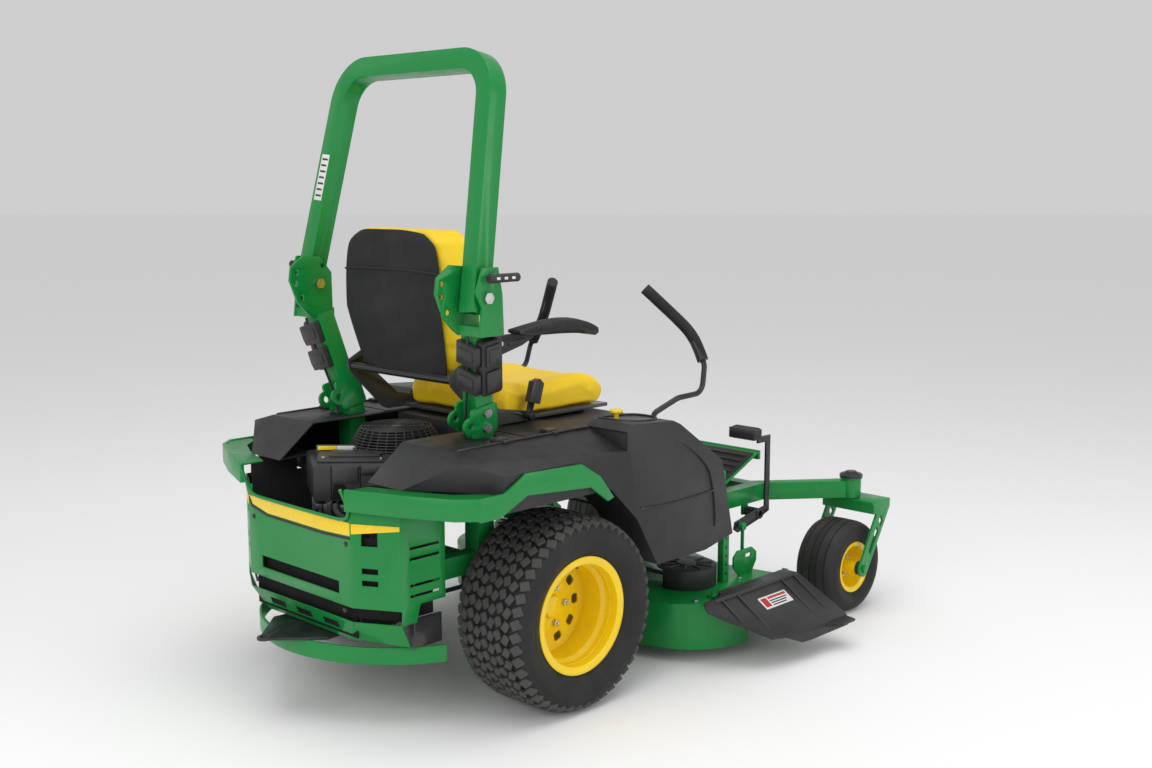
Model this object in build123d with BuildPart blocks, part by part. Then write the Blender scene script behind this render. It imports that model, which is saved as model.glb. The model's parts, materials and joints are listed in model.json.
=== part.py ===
"""Zero turn mower: a rear-engined ride-on mower on two driven wheels and two casters.

The machine is modelled about the point on the ground under its rear axle, with X forward,
Y to the left and Z up, in millimetres. save() moves every piece so that the origin lies on the
ground under the middle of the whole machine.
"""
from build123d import *
from math import cos, hypot, radians, sin, tan
import os

os.makedirs("parts", exist_ok=True)

# ---------------------------------------------------------------- driving dimensions
# rear wheels: 23 x 10.5-12 tyres
rear_tyre_radius = 288
rear_tyre_width = 267
rear_wheel_y = 482.5
rear_flange_radius = 174
rear_rim_half_width = 111
rear_disc_y = 455
axle_shaft_radius = 20

# front casters: 13 x 6.5-6 tyres
caster_tyre_radius = 164
caster_tyre_width = 165
caster_axle_x = 1345
caster_kingpin_x = 1415
caster_y = 572
caster_flange_radius = 91
kingpin_radius = 16
caster_bolt_radius = 9.5

# frame
rail_bottom = 400
rail_top = 460
rail_outer_y = 380
rail_width = 50
rail_rear_y = 325
rail_rear_x = -430
rail_front_x = 1150

# roll bar
roll_tube = 60
roll_pivot = Vector(-221, 392, 1207)
roll_foot = Vector(-135, 303, 800)
roll_corner = Vector(-87, 330, 1863)
roll_bend_radius = 117
hinge_gap = 84
hinge_plate = 8

# engine
crank_x = -197
crank_radius = 22
blower_radius = 148
cowl_bottom = 612
cowl_top = 720
guard_top = 797

# deck, three blades
deck_bottom = 45
deck_top = 195
deck_radius = 238
deck_skin = 5
side_spindle = Vector(700, 400, 0)
centre_spindle_x = 815
blade_radius = 205
spindle_radius = 15
pulley_radius = 65
belt_thickness = 8
belt_gap = 0.4
hinge_y = -580
hinge_z = 206
discharge_rear_x = 730

# seat
seat_half_width = 232
cushion_front_x = 505
cushion_rear_x = 20
pan_bottom = 801

# body panels
cover_inner_y = 215
cover_outer_y = 590
cover_top = 795
cover_skin = 4

running = 0.05
hitch_x = -680
hitch_hole_radius = 9.5
plate_z = 245

# whole machine, for the origin under its middle
front_end = caster_axle_x + caster_tyre_radius
rear_end = hitch_x - 22
left_end = caster_y + 117
right_end = -850
middle_x = (front_end + rear_end) / 2
middle_y = (left_end + right_end) / 2


# ---------------------------------------------------------------- helpers
def save(piece, label):
    """Move a piece to the origin under the machine's middle, label it and write its file."""
    placed = Pos(-middle_x, -middle_y, 0) * piece.part
    placed.label = label
    piece.part.label = label
    export_step(placed, f"parts/{label}.step")


def side(y):
    """A plane across the machine at y, seen from the right: local x is X and local y is Z."""
    return Plane.XZ.offset(-y)


def both_sides(low, high, hand):
    """The two faces of a wall at |y| from low to high, as (start plane, thickness)."""
    start = high if hand > 0 else -low
    return side(start), high - low


def square_tube(points, radii, size, wall):
    """Sweep a square tube along straight runs joined by arcs (used inside a BuildPart)."""
    with BuildLine(mode=Mode.PRIVATE) as route:
        FilletPolyline(*points, radius=radii)
    start = Plane(origin=route.line @ 0, x_dir=(1, 0, 0), z_dir=route.line % 0)
    with BuildSketch(start) as section:
        Rectangle(size, size)
        if wall:
            Rectangle(size - 2 * wall, size - 2 * wall, mode=Mode.SUBTRACT)
    sweep(sections=section.sketch, path=route.line)


def round_bar(points, radii, radius):
    """Sweep a round bar along straight runs joined by arcs (used inside a BuildPart)."""
    with BuildLine(mode=Mode.PRIVATE) as route:
        FilletPolyline(*points, radius=radii)
    with BuildSketch(Plane(origin=route.line @ 0, z_dir=route.line % 0)) as section:
        Circle(radius)
    sweep(sections=section.sketch, path=route.line)


def cylinder_y(x, y_from, y_to, z, radius, mode=Mode.ADD):
    """A round bar along Y (used inside a BuildPart)."""
    with BuildSketch(side(y_to)) as section:
        with Locations((x, z)):
            Circle(radius)
    extrude(section.sketch, amount=y_to - y_from, mode=mode)


def cylinder_z(x, y, z_from, z_to, radius, mode=Mode.ADD):
    """A round bar along Z (used inside a BuildPart)."""
    with BuildSketch(Plane.XY.offset(z_from)) as section:
        with Locations((x, y)):
            Circle(radius)
    extrude(section.sketch, amount=z_to - z_from, mode=mode)


def block(low, high, mode=Mode.ADD):
    """A box from its lowest to its highest corner (used inside a BuildPart)."""
    size = [high[i] - low[i] for i in range(3)]
    with Locations(tuple((low[i] + high[i]) / 2 for i in range(3))):
        Box(*size, mode=mode)


def side_block(x, y, z, hand, mode=Mode.ADD):
    """A box given by its ranges of x, |y| and z, on the left (hand 1) or the right (hand -1)."""
    low_y, high_y = sorted((hand * y[0], hand * y[1]))
    block((x[0], low_y, z[0]), (x[1], high_y, z[1]), mode)


def along(start, end, share):
    """The point a share of the way from start to end."""
    return start + (end - start) * share


def handed(point, hand):
    """A point given for the left side, moved to the side that hand names."""
    x, y, z = tuple(point)
    return (x, hand * y, z)


# ---------------------------------------------------------------- frame
def make_main_frame():
    with BuildPart() as main_frame:
        for hand in (1, -1):
            inner = rail_outer_y - rail_width
            rear_inner = rail_rear_y - rail_width
            with BuildSketch(Plane.XY.offset(rail_bottom)) as rail:
                with BuildLine() as rail_line:
                    Polyline(
                        (rail_rear_x, hand * rail_rear_y),
                        (250, hand * rail_rear_y),
                        (345, hand * rail_outer_y),
                        (rail_front_x, hand * rail_outer_y),
                        (rail_front_x, hand * inner),
                        (360, hand * inner),
                        (265, hand * rear_inner),
                        (rail_rear_x, hand * rear_inner),
                        close=True,
                    )
                make_face()
            extrude(amount=rail_top - rail_bottom)
        for x in (rail_rear_x, 330, rail_front_x - rail_width):
            half = (rail_rear_y if x < 0 else rail_outer_y) - 5
            block((x, -half, rail_bottom), (x + rail_width, half, rail_top))
        block((-385, -280, rail_bottom), (-60, 280, rail_bottom + 8))
        cylinder_z(crank_x, 0, rail_bottom - 1, rail_bottom + 9, 60, Mode.SUBTRACT)
        for hand in (1, -1):
            start, depth = both_sides(rail_outer_y - 1, rail_outer_y + 5, hand)
            with BuildSketch(start) as gusset:
                with BuildLine() as gusset_line:
                    Polyline((740, 400), (840, 400), (925, 470), (925, 540), (720, 540), close=True)
                make_face()
            extrude(amount=depth)
            side_block((720, 925), (300, 385), (534, 540), hand)
            start, depth = both_sides(352, 360, hand)
            with BuildSketch(start) as bracket:
                with Locations((515, 570)):
                    Rectangle(70, 240)
                with Locations((515, 650)):
                    Circle(30)
            extrude(amount=depth)
            low, high = sorted((hand * 352, hand * 414))
            cylinder_y(515, low, high, 650, 8)
            cylinder_y(1045, *sorted((hand * 375, hand * 430)), 378, 10)
            side_block((1030, 1060), (372, 380), (365, 401), hand)
    return main_frame


def make_front_frame():
    run = Vector(caster_kingpin_x - rail_front_x, caster_y - rail_outer_y + rail_width / 2)
    across = Vector(-run.Y, run.X).normalized() * (rail_width / 2)
    pivot = Vector(caster_kingpin_x, caster_y)
    slope = run.Y / run.X
    with BuildPart() as front_frame:
        for hand in (1, -1):
            outer = pivot + across
            inner = pivot - across
            outer_start = outer.Y - (outer.X - rail_front_x) * slope
            inner_start = inner.Y - (inner.X - rail_front_x) * slope
            with BuildSketch(Plane.XY.offset(rail_bottom)) as arm:
                with BuildLine() as arm_line:
                    Polyline(
                        (rail_front_x, hand * inner_start),
                        (inner.X, hand * inner.Y),
                        (outer.X, hand * outer.Y),
                        (rail_front_x, hand * outer_start),
                        close=True,
                    )
                make_face()
            extrude(amount=rail_top - rail_bottom)
            cylinder_z(caster_kingpin_x, hand * caster_y, rail_bottom - 0.5, rail_top + 5, 36)
            cylinder_z(caster_kingpin_x, hand * caster_y, rail_bottom - 2, rail_top + 8,
                       kingpin_radius + running, Mode.SUBTRACT)
    return front_frame


def make_hitch_brackets():
    with BuildPart() as hitch_brackets:
        with BuildSketch(Plane.XY.offset(plate_z)) as hitch:
            with BuildLine() as hitch_line:
                Polyline((-436, -120), (-560, -135), (hitch_x, -20), (hitch_x, 20), (-560, 135),
                         (-436, 120),
                         close=True)
            make_face()
            with Locations((hitch_x, 0)):
                Circle(22)
                Circle(hitch_hole_radius, mode=Mode.SUBTRACT)
        extrude(amount=8)
        block((-436, -120, plate_z), (rail_rear_x, 120, rail_top))
        for hand in (1, -1):
            side_block((-440, -340), (362, 370), (plate_z + 1, 330), hand)
            side_block((-440, -432), (330, 370), (plate_z + 1, 440), hand)
            side_block((-440, -340), (326, 334), (320, 440), hand)
    return hitch_brackets


def make_bumper():
    with BuildPart() as bumper:
        with BuildSketch(Plane.XY.offset(195)) as bar:
            with BuildLine() as bar_line:
                ThreePointArc((-350, -404), (-612, 0), (-350, 404))
                ThreePointArc((-350, 396), (-602, 0), (-350, -396))
                Line((-350, 404), (-350, 396))
                Line((-350, -404), (-350, -396))
            make_face()
        extrude(amount=plate_z - 195)
    return bumper


# ---------------------------------------------------------------- wheels
def make_rear_tyre(hand):
    """A hollow tyre turned about the axle: bead, bulging wall, rounded shoulder, flat tread."""
    half = rear_tyre_width / 2
    bead = rear_rim_half_width - 7
    skin = 14
    with BuildPart() as rear_tyre:
        with BuildSketch(Plane(origin=(0, hand * rear_wheel_y, rear_tyre_radius), x_dir=(0, 1, 0),
                               z_dir=(1, 0, 0))) as section:
            with BuildLine() as outer_line:
                outer = Polyline((-bead, 155), (-bead, 176), (-half, 226), (-half + 6, 262),
                                 (-half + 26, 284),
                                 (-60, rear_tyre_radius), (60, rear_tyre_radius), (half - 26, 284),
                                 (half - 6, 262), (half, 226), (bead, 176), (bead, 155))
                Polyline((bead, 155), (bead - skin, 155), (bead - skin, 180), (half - skin, 226),
                         (half - 20, 258), (80, 272), (-80, 272), (-half + 20, 258), (-half + skin, 226),
                         (-bead + skin, 180), (-bead + skin, 155), (-bead, 155))
            make_face()
        revolve(axis=Axis((0, hand * rear_wheel_y, rear_tyre_radius), (0, 1, 0)))
    return rear_tyre


def make_rear_rim(hand):
    """Barrel, flanges and a windowed disc, with the hub, the axle stub and the lug nuts as solids."""
    inboard = hand * (rear_disc_y - rear_wheel_y)
    thick = 3
    half = rear_rim_half_width
    centre = Plane(origin=(0, hand * rear_wheel_y, rear_tyre_radius), x_dir=(0, 1, 0), z_dir=(1, 0, 0))
    disc_plane = Plane(origin=(0, hand * (rear_disc_y - 3), rear_tyre_radius), x_dir=(1, 0, 0),
                       z_dir=(0, hand, 0))
    with BuildPart() as rear_rim:
        with BuildSketch(centre) as section:
            with BuildLine() as barrel_line:
                Polyline((-half, rear_flange_radius), (-half, rear_flange_radius - 8), (-half + 4, 150),
                         (-60, 150), (-50, 138), (50, 138), (60, 150), (half - 4, 150),
                         (half, rear_flange_radius - 8), (half, rear_flange_radius),
                         (half - 5, rear_flange_radius), (half - 6, 154.5), (58, 154.5), (48, 142),
                         (-48, 142), (-58, 154.5), (-half + 6, 154.5), (-half + 5, rear_flange_radius),
                         close=True)
            make_face()
        revolve(axis=Axis((0, hand * rear_wheel_y, rear_tyre_radius), (0, 1, 0)))
        with BuildSketch(disc_plane) as disc:
            Circle(140)
            with PolarLocations(104, 10):
                RectangleRounded(26, 30, 9, mode=Mode.SUBTRACT)
        extrude(amount=6)
        with BuildSketch(disc_plane.offset(6)) as dome:
            Circle(38)
        extrude(amount=16, taper=25)
        # hub flange and axle stub
        with BuildSketch(disc_plane) as hub:
            Circle(72)
        extrude(amount=-12)
        with BuildSketch(disc_plane.offset(-12)) as stub:
            Circle(axle_shaft_radius)
        extrude(amount=-(rear_disc_y - 15 - 230))
        with BuildSketch(disc_plane.offset(6)) as nuts:
            with PolarLocations(57, 5):
                RegularPolygon(11, 6)
        extrude(amount=14)
    return rear_rim


def make_caster_tyre(hand):
    half = caster_tyre_width / 2
    centre = (caster_axle_x, hand * caster_y, caster_tyre_radius)
    with BuildPart() as caster_tyre:
        with BuildSketch(Plane(origin=centre, x_dir=(0, 1, 0), z_dir=(1, 0, 0))) as section:
            with BuildLine() as tyre_line:
                Polyline((-64, 78), (-66, 95), (-half, 122), (-half + 3, 142), (-half + 22, 159),
                         (-40, caster_tyre_radius), (40, caster_tyre_radius), (half - 22, 159),
                         (half - 3, 142), (half, 122), (66, 95), (64, 78))
                Polyline((64, 78), (54, 78), (56, 98), (half - 10, 122), (half - 28, 148), (0, 153),
                         (-half + 28, 148), (-half + 10, 122), (-56, 98), (-54, 78), (-64, 78))
            make_face()
        revolve(axis=Axis(centre, (0, 1, 0)))
    return caster_tyre


def make_caster_rim(hand):
    centre = (caster_axle_x, hand * caster_y, caster_tyre_radius)
    bore = caster_bolt_radius + running
    with BuildPart() as caster_rim:
        with BuildSketch(Plane(origin=centre, x_dir=(0, 1, 0), z_dir=(1, 0, 0))) as section:
            with BuildLine() as rim_line:
                Polyline((-96, bore), (-96, 20), (-8, 24), (-8, 60), (-40, 73), (-64, 73), (-70, 82),
                         (-70, caster_flange_radius), (-66, caster_flange_radius), (-64, 77.5), (64, 77.5),
                         (66, caster_flange_radius), (70, caster_flange_radius), (70, 82), (64, 73),
                         (40, 73),
                         (8, 60), (8, 24), (96, 20), (96, bore), close=True)
            make_face()
        revolve(axis=Axis(centre, (0, 1, 0)))
    return caster_rim


def make_caster_fork(hand):
    """A kingpin with its cap, a folded top plate and two slanted legs; the axle bolt is its own solid."""
    leg_in = 100
    leg_out = 108
    fork_top = 396
    with BuildPart() as caster_fork:
        block((1392, hand * caster_y - leg_out, fork_top - 10), (1505, hand * caster_y + leg_out, fork_top))
        block((1400, hand * caster_y - leg_out, 352), (1450, hand * caster_y + leg_out, fork_top))
        cylinder_z(caster_kingpin_x, hand * caster_y, fork_top - 2, rail_top + 8, kingpin_radius)
        cylinder_z(caster_kingpin_x, hand * caster_y, rail_top + 6.5, rail_top + 16, 40)
        cylinder_z(caster_kingpin_x, hand * caster_y, rail_top + 16, rail_top + 24, 17)
        for offset in (-leg_out, leg_in):
            top_y = hand * caster_y + offset + (leg_out - leg_in)
            with BuildSketch(side(top_y)) as leg:
                with BuildLine() as leg_line:
                    Polyline((1428, fork_top), (1505, fork_top), (1505, 366), (1371, 152), (1319, 176),
                             (1428, 362), close=True)
                make_face()
                with Locations((caster_axle_x, caster_tyre_radius)):
                    Circle(28)
                    Circle(caster_bolt_radius, mode=Mode.SUBTRACT)
                with BuildLine() as diamond_line:
                    Polyline((1448, 345), (1462, 318), (1446, 300), (1434, 326), close=True)
                make_face(mode=Mode.SUBTRACT)
                with BuildLine() as window_line:
                    Polyline((1420, 306), (1436, 284), (1384, 208), (1374, 222), close=True)
                make_face(mode=Mode.SUBTRACT)
            extrude(amount=leg_out - leg_in)
    low = hand * caster_y - leg_out
    high = hand * caster_y + leg_out
    with BuildPart() as caster_bolt:
        cylinder_y(caster_axle_x, low - 1, high + 1, caster_tyre_radius, caster_bolt_radius - 0.02)
        for y_from, y_to in ((low - 9, low), (high, high + 9)):
            with BuildSketch(side(y_to)) as head:
                with Locations((caster_axle_x, caster_tyre_radius)):
                    RegularPolygon(14, 6)
            extrude(amount=y_to - y_from)
    caster_fork.part = Compound([*caster_fork.part.solids(), *caster_bolt.part.solids()])
    return caster_fork


def make_transaxles():
    """Two hydrostatic gear housings under the rails, each with an axle tube and a shaft seat."""
    with BuildPart() as transaxles:
        for hand in (1, -1):
            side_block((-110, 110), (190, 325), (215, 385), hand)
        fillet(transaxles.edges().filter_by(Axis.Y), radius=30)
        for hand in (1, -1):
            side_block((-45, 45), (280, 322), (380, rail_bottom), hand)
            cylinder_y(0, *sorted((hand * 320, hand * 345)), rear_tyre_radius, 38)
            cylinder_y(0, *sorted((hand * 225, hand * 346)), rear_tyre_radius,
                       axle_shaft_radius + running, Mode.SUBTRACT)
            cylinder_z(-60, hand * 250, 380, 396, 26)
    return transaxles


# ---------------------------------------------------------------- engine
def make_engine_block():
    with BuildPart() as engine_block:
        cylinder_z(crank_x, 0, rail_bottom + 8, cowl_bottom, 128)
        for heading in (135, 225):
            head = Plane(origin=(crank_x, 0, 535), x_dir=(cos(radians(heading)), sin(radians(heading)), 0),
                         z_dir=(0, 0, 1))
            with BuildSketch(head.offset(-60)) as barrel:
                with Locations((165, 0)):
                    Rectangle(170, 104)
            extrude(amount=120)
            for step in range(6):
                with BuildSketch(head.offset(-61)) as groove:
                    for across in (-46, 46):
                        with Locations((145 + 18 * step, across)):
                            Rectangle(7, 14)
                extrude(amount=122, mode=Mode.SUBTRACT)
        cylinder_z(crank_x, 0, rail_bottom + 7, cowl_bottom + 1, crank_radius + running, Mode.SUBTRACT)
    return engine_block


def cowl_outline(inset):
    """The V-shaped cover over the two cylinders, drawn in plan, drawn in by inset."""
    with BuildSketch() as outline:
        with BuildLine() as cowl_line:
            Polyline((-495, 5), (-331, -155), (-215, -60), (-215, 130), (-385, 200), close=True)
        make_face()
        if inset:
            offset(amount=-inset, kind=Kind.INTERSECTION, mode=Mode.REPLACE)
    return outline.sketch


def make_engine_cowls():
    wall = 4
    with BuildPart() as cylinder_cowl:
        with BuildSketch(Plane.XY.offset(cowl_bottom)) as outside:
            add(cowl_outline(0))
        extrude(amount=cowl_top - cowl_bottom)
        chamfer(cylinder_cowl.faces().sort_by(Axis.Z)[-1].edges(), length=9)
        with BuildSketch(Plane.XY.offset(cowl_bottom - 1)) as inside:
            add(cowl_outline(wall))
        extrude(amount=cowl_top - cowl_bottom - wall - 6, mode=Mode.SUBTRACT)
        cylinder_z(crank_x, 0, cowl_bottom - 1, cowl_top + 1, blower_radius + 0.5, Mode.SUBTRACT)
    with BuildPart() as blower_housing:
        cylinder_z(crank_x, 0, cowl_bottom, cowl_top + 2, blower_radius)
        cylinder_z(crank_x, 0, cowl_bottom + wall, cowl_top + 3, blower_radius - wall, Mode.SUBTRACT)
        cylinder_z(crank_x, 0, cowl_bottom - 1, cowl_bottom + wall + 1, crank_radius + 4, Mode.SUBTRACT)
    with BuildPart() as engine_cowls:
        add(cylinder_cowl.part)
        add(blower_housing.part)
    return engine_cowls


def make_fan_guard():
    """A conical wire guard: a slotted wall and a ringed top round a solid hub."""
    base = cowl_top + 2
    with BuildPart() as fan_guard:
        with BuildSketch(Plane(origin=(crank_x, 0, 0), x_dir=(1, 0, 0), z_dir=(0, -1, 0))) as section:
            with BuildLine() as guard_line:
                Polyline((blower_radius - 4, base), (blower_radius, base), (108, guard_top), (0, guard_top),
                         (0, guard_top - 4), (105, guard_top - 4), close=True)
            make_face()
        revolve(axis=Axis((crank_x, 0, 0), (0, 0, 1)))
        with BuildSketch(Plane.XY.offset(guard_top - 8)) as slots:
            with Locations((crank_x, 0)):
                for ring in (44, 62, 80):
                    with PolarLocations(ring, 12):
                        SlotOverall(ring * 0.42, 8, rotation=90)
        extrude(amount=12, mode=Mode.SUBTRACT)
    return fan_guard


def make_muffler():
    with BuildPart() as muffler:
        cylinder_y(-482, -150, 130, 480, 46)
        fillet(muffler.edges(), radius=10)
        cylinder_z(-482, 60, 400, 436, 15)
    return muffler


def make_crankshaft():
    """The upright crankshaft, with the cooling fan above the block and the clutch pulley below the frame."""
    with BuildPart() as crankshaft:
        cylinder_z(crank_x, 0, 256, 700, crank_radius)
        cylinder_z(crank_x, 0, 258, 278, 70)
        cylinder_z(crank_x, 0, 286, 350, 58)
        cylinder_z(crank_x, 0, 640, 646, 128)
        with BuildSketch(Plane.XY.offset(646)) as fan_blades:
            with Locations((crank_x, 0)):
                with PolarLocations(88, 12):
                    Rectangle(70, 4, rotation=20)
        extrude(amount=44)
    return crankshaft


def make_fuel_tank():
    with BuildPart() as fuel_tank:
        block((360, -560, 425), (500, -432, 640))
        fillet(fuel_tank.edges(), radius=18)
        cylinder_z(470, -500, 630, 690, 22)
    return fuel_tank


def make_fuel_cap():
    with BuildPart() as fuel_cap:
        cylinder_z(470, -500, 768, 786, 27)
        chamfer(fuel_cap.faces().sort_by(Axis.Z)[-1].edges(), length=3)
        cylinder_z(470, -500, 691, 768, 18)
    return fuel_cap


def make_battery():
    with BuildPart() as battery:
        block((-70, 240, 644.5), (130, 400, 735))
        fillet(battery.edges().filter_by(Axis.Z), radius=8)
        for y in (280, 360):
            cylinder_z(-40, y, 735, 747, 9)
    return battery


# ---------------------------------------------------------------- body panels
def cover_outline(inset):
    """The side cover and console from the side: rear slope, top, raised pod, front slope, wheel arch."""
    front = (330, 372)
    with BuildSketch() as outline:
        with BuildLine() as cover_line:
            Polyline((-330, 697), (-470, 697), (-345, cover_top), (185, cover_top), (215, 818), (400, 806),
                     (432, 792), (640, 650), (700, 400), (560, 372), front)
            Polyline(front, (235, 530), (120, 640), (-330, 640), (-330, 697))
        make_face()
        if inset:
            offset(amount=-inset, kind=Kind.INTERSECTION, mode=Mode.REPLACE)
    return outline.sketch


def cover_solid(inset, hand):
    """The cover as a solid drawn in by inset, open to the inboard side when inset is not zero."""
    outer = cover_outer_y - inset
    inner = cover_inner_y - (1 if inset else 0)
    crest = 430
    with BuildPart(mode=Mode.PRIVATE) as solid:
        start, depth = both_sides(inner, outer, hand)
        with BuildSketch(start) as profile:
            add(cover_outline(inset))
        extrude(amount=depth)
        # the outer top edge slopes down to the fender
        slope = Plane(origin=(0, hand * (crest - inset), cover_top), x_dir=(1, 0, 0),
                      z_dir=(0, hand * 0.33, 1))
        with BuildSketch(slope.offset(-inset)) as slope_cut:
            with Locations((-160, 0)):
                Rectangle(700, 900)
        extrude(amount=200, mode=Mode.SUBTRACT)
        # the rear outer corner turns in towards the engine
        corner = Plane(origin=(-300 + inset, hand * (cover_outer_y - inset), 700), x_dir=(0, 0, 1),
                       z_dir=(-0.80, hand * 0.60, 0))
        with BuildSketch(corner) as corner_cut:
            Rectangle(600, 900)
        extrude(amount=400, mode=Mode.SUBTRACT)
        # forward of the seat base only the console remains
        side_block((182, 720), (100, 424 - inset), (300, 900), hand, Mode.SUBTRACT)
    return solid.part


def make_side_covers():
    with BuildPart() as side_covers:
        for hand in (1, -1):
            add(cover_solid(0, hand))
            add(cover_solid(cover_skin, hand), mode=Mode.SUBTRACT)
            side_block((-174, -96), (264, 342), (630, 830), hand, Mode.SUBTRACT)
        cylinder_z(470, -500, 700, 900, 30, Mode.SUBTRACT)
        cylinder_z(262, -480, 770, 830, 9, Mode.SUBTRACT)
    return side_covers


def make_fenders():
    """Green wheel arch lips that run back round the corners to the rear guard."""
    with BuildPart() as fenders:
        for hand in (1, -1):
            start, depth = both_sides(594, 606, hand)
            with BuildSketch(start) as arch:
                with BuildLine() as arch_line:
                    Polyline((-310, 700), (-230, 742), (-16, 736), (60, 690), (117, 620), (92, 612),
                             (20, 664),
                             (-230, 682), (-330, 636), (-400, 636), (-400, 700), close=True)
                make_face()
            extrude(amount=depth)
            with BuildSketch(Plane.XY.offset(640)) as corner:
                with BuildLine() as corner_line:
                    Polyline((-330, hand * 606), (-400, hand * 606), (-452, hand * 560), (-520, hand * 420),
                             (-582, hand * 255), (-570, hand * 250), (-509, hand * 416), (-442, hand * 554),
                             (-395, hand * 594), (-330, hand * 594), close=True)
                make_face()
            extrude(amount=60)
            with BuildSketch(Plane.XY.offset(691)) as ledge:
                with BuildLine() as ledge_line:
                    Polyline((-330, hand * 600), (-400, hand * 600), (-446, hand * 558), (-514, hand * 418),
                             (-576, hand * 255), (-500, hand * 255), (-450, hand * 400), (-400, hand * 500),
                             (-330, hand * 560), close=True)
                make_face()
            extrude(amount=5)
    return fenders


def guard_outline(inset, lower):
    """Half of the rear guard in plan, from the centre-plane round to the side, on the left."""
    depth = 28 if lower else 0
    corner = 205 if lower else 251
    return [(-557 + depth + inset, 0), (-557 + depth + inset, corner - inset / 2),
            (-486 + depth + inset, 376 - inset), (-330, 376 - inset)]


def make_rear_guard():
    skin = 4
    with BuildPart() as rear_guard:
        for hand in (1, -1):
            outer = [(x, hand * y) for x, y in guard_outline(0, False)]
            inner = [(x, hand * y) for x, y in guard_outline(skin, False)]
            with BuildSketch(Plane.XY.offset(322)) as panel:
                with BuildLine() as panel_line:
                    Polyline(*outer, *reversed(inner), close=True)
                make_face()
            extrude(amount=314)
        # the rear panel is lower than the sides
        block((-600, -235, 604), (-500, 235, 640), Mode.SUBTRACT)
        # slanted lower panel
        for hand in (1, -1):
            upper = [(x, hand * y) for x, y in guard_outline(0, False)][:3]
            upper_in = [(x, hand * y) for x, y in guard_outline(skin, False)][:3]
            lower = [(x, hand * y) for x, y in guard_outline(0, True)][:3]
            lower_in = [(x, hand * y) for x, y in guard_outline(skin, True)][:3]
            with BuildSketch(Plane.XY.offset(323)) as top_edge:
                with BuildLine() as top_line:
                    Polyline(*upper, *reversed(upper_in), close=True)
                make_face()
            with BuildSketch(Plane.XY.offset(256)) as bottom_edge:
                with BuildLine() as bottom_line:
                    Polyline(*lower, *reversed(lower_in), close=True)
                make_face()
            loft(sections=[bottom_edge.sketch, top_edge.sketch], ruled=True)
        # slots: one wide and three small in the rear, three windows and four louvres in each side
        block((-600, -190, 392), (-530, 190, 428), Mode.SUBTRACT)
        for y in (-130, 0, 130):
            block((-600, y - 38, 283), (-500, y + 38, 304), Mode.SUBTRACT)
        for hand in (1, -1):
            panel = Plane(origin=(-521, hand * 314, 0), x_dir=(71 / 144, hand * 125 / 144, 0),
                          z_dir=(0, 0, 1))
            for z, tall in ((540, 40), (462, 16), (428, 16)):
                with BuildSketch(panel.offset(z)) as window:
                    with Locations((-20, 0)):
                        Rectangle(48, 60)
                extrude(amount=tall, mode=Mode.SUBTRACT)
            for z in (395, 425, 500, 530):
                side_block((-455, -350), (360, 390), (z, z + 8), hand, Mode.SUBTRACT)
            start, depth = both_sides(360, 400, hand)
            with BuildSketch(start) as notch:
                with BuildLine() as notch_line:
                    Polyline((-440, 300), (-420, 372), (-300, 372), (-300, 300), close=True)
                make_face()
            extrude(amount=depth, mode=Mode.SUBTRACT)
    return rear_guard


def floor_profile(rise, thickness):
    """The floor line seen from the side, flat and then sloping up to the foot rest."""
    slope = hypot(230, 105)
    lift = thickness * slope / 230
    return [(484, 460 + rise), (930, 460 + rise), (1160, 565 + rise), (1160, 565 + rise + lift),
            (930 - thickness * 0.22, 460 + rise + thickness), (484, 460 + rise + thickness)]


def make_floor_pan():
    with BuildPart() as floor_pan:
        with BuildSketch(side(351)) as pan:
            with BuildLine() as pan_line:
                Polyline(*floor_profile(0.2, 4), close=True)
            make_face()
        extrude(amount=702)
        block((1156, -351, 540), (1168, 351, 572))
    return floor_pan


def make_floor_mat():
    """A rubber mat with raised ribs across the foot rest."""
    with BuildPart() as floor_mat:
        with BuildSketch(side(340)) as mat:
            with BuildLine() as mat_line:
                Polyline(*floor_profile(4.8, 6), close=True)
            make_face()
        extrude(amount=680)
        block((1140, -400, 400), (1200, 400, 640), Mode.SUBTRACT)
        for step in range(6):
            x = 960 + 30 * step
            z = 470 + (x - 930) * 105 / 230
            with BuildSketch(side(330)) as rib:
                with Locations((x, z + 4)):
                    Rectangle(10, 10)
            extrude(amount=660)
    return floor_mat


def make_seat_base():
    """A moulded box under the seat, wider towards the front, with two slide rails on top."""
    with BuildPart() as seat_base:
        with BuildSketch(Plane.XY.offset(640)) as plan:
            with BuildLine() as plan_line:
                Polyline((-20, -213), (203, -213), (203, -422), (468, -422), (468, 422), (203, 422),
                         (203, 213),
                         (-20, 213), close=True)
            make_face()
        extrude(amount=150)
        with BuildSketch(Plane.XY.offset(639)) as hollow:
            with BuildLine() as hollow_line:
                Polyline((-16, -209), (207, -209), (207, -418), (464, -418), (464, 418), (207, 418),
                         (207, 209),
                         (-16, 209), close=True)
            make_face()
        extrude(amount=147, mode=Mode.SUBTRACT)
        for hand in (1, -1):
            side_block((60, 440), (150, 176), (789, 800), hand)
            side_block((380, 440), (330, 350), (rail_top, 700), hand)
        block((375, -418, 690), (445, 418, 700))
        for hand in (1, -1):
            side_block((375, 445), (330, 350), (699, 789), hand)
    return seat_base


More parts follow.
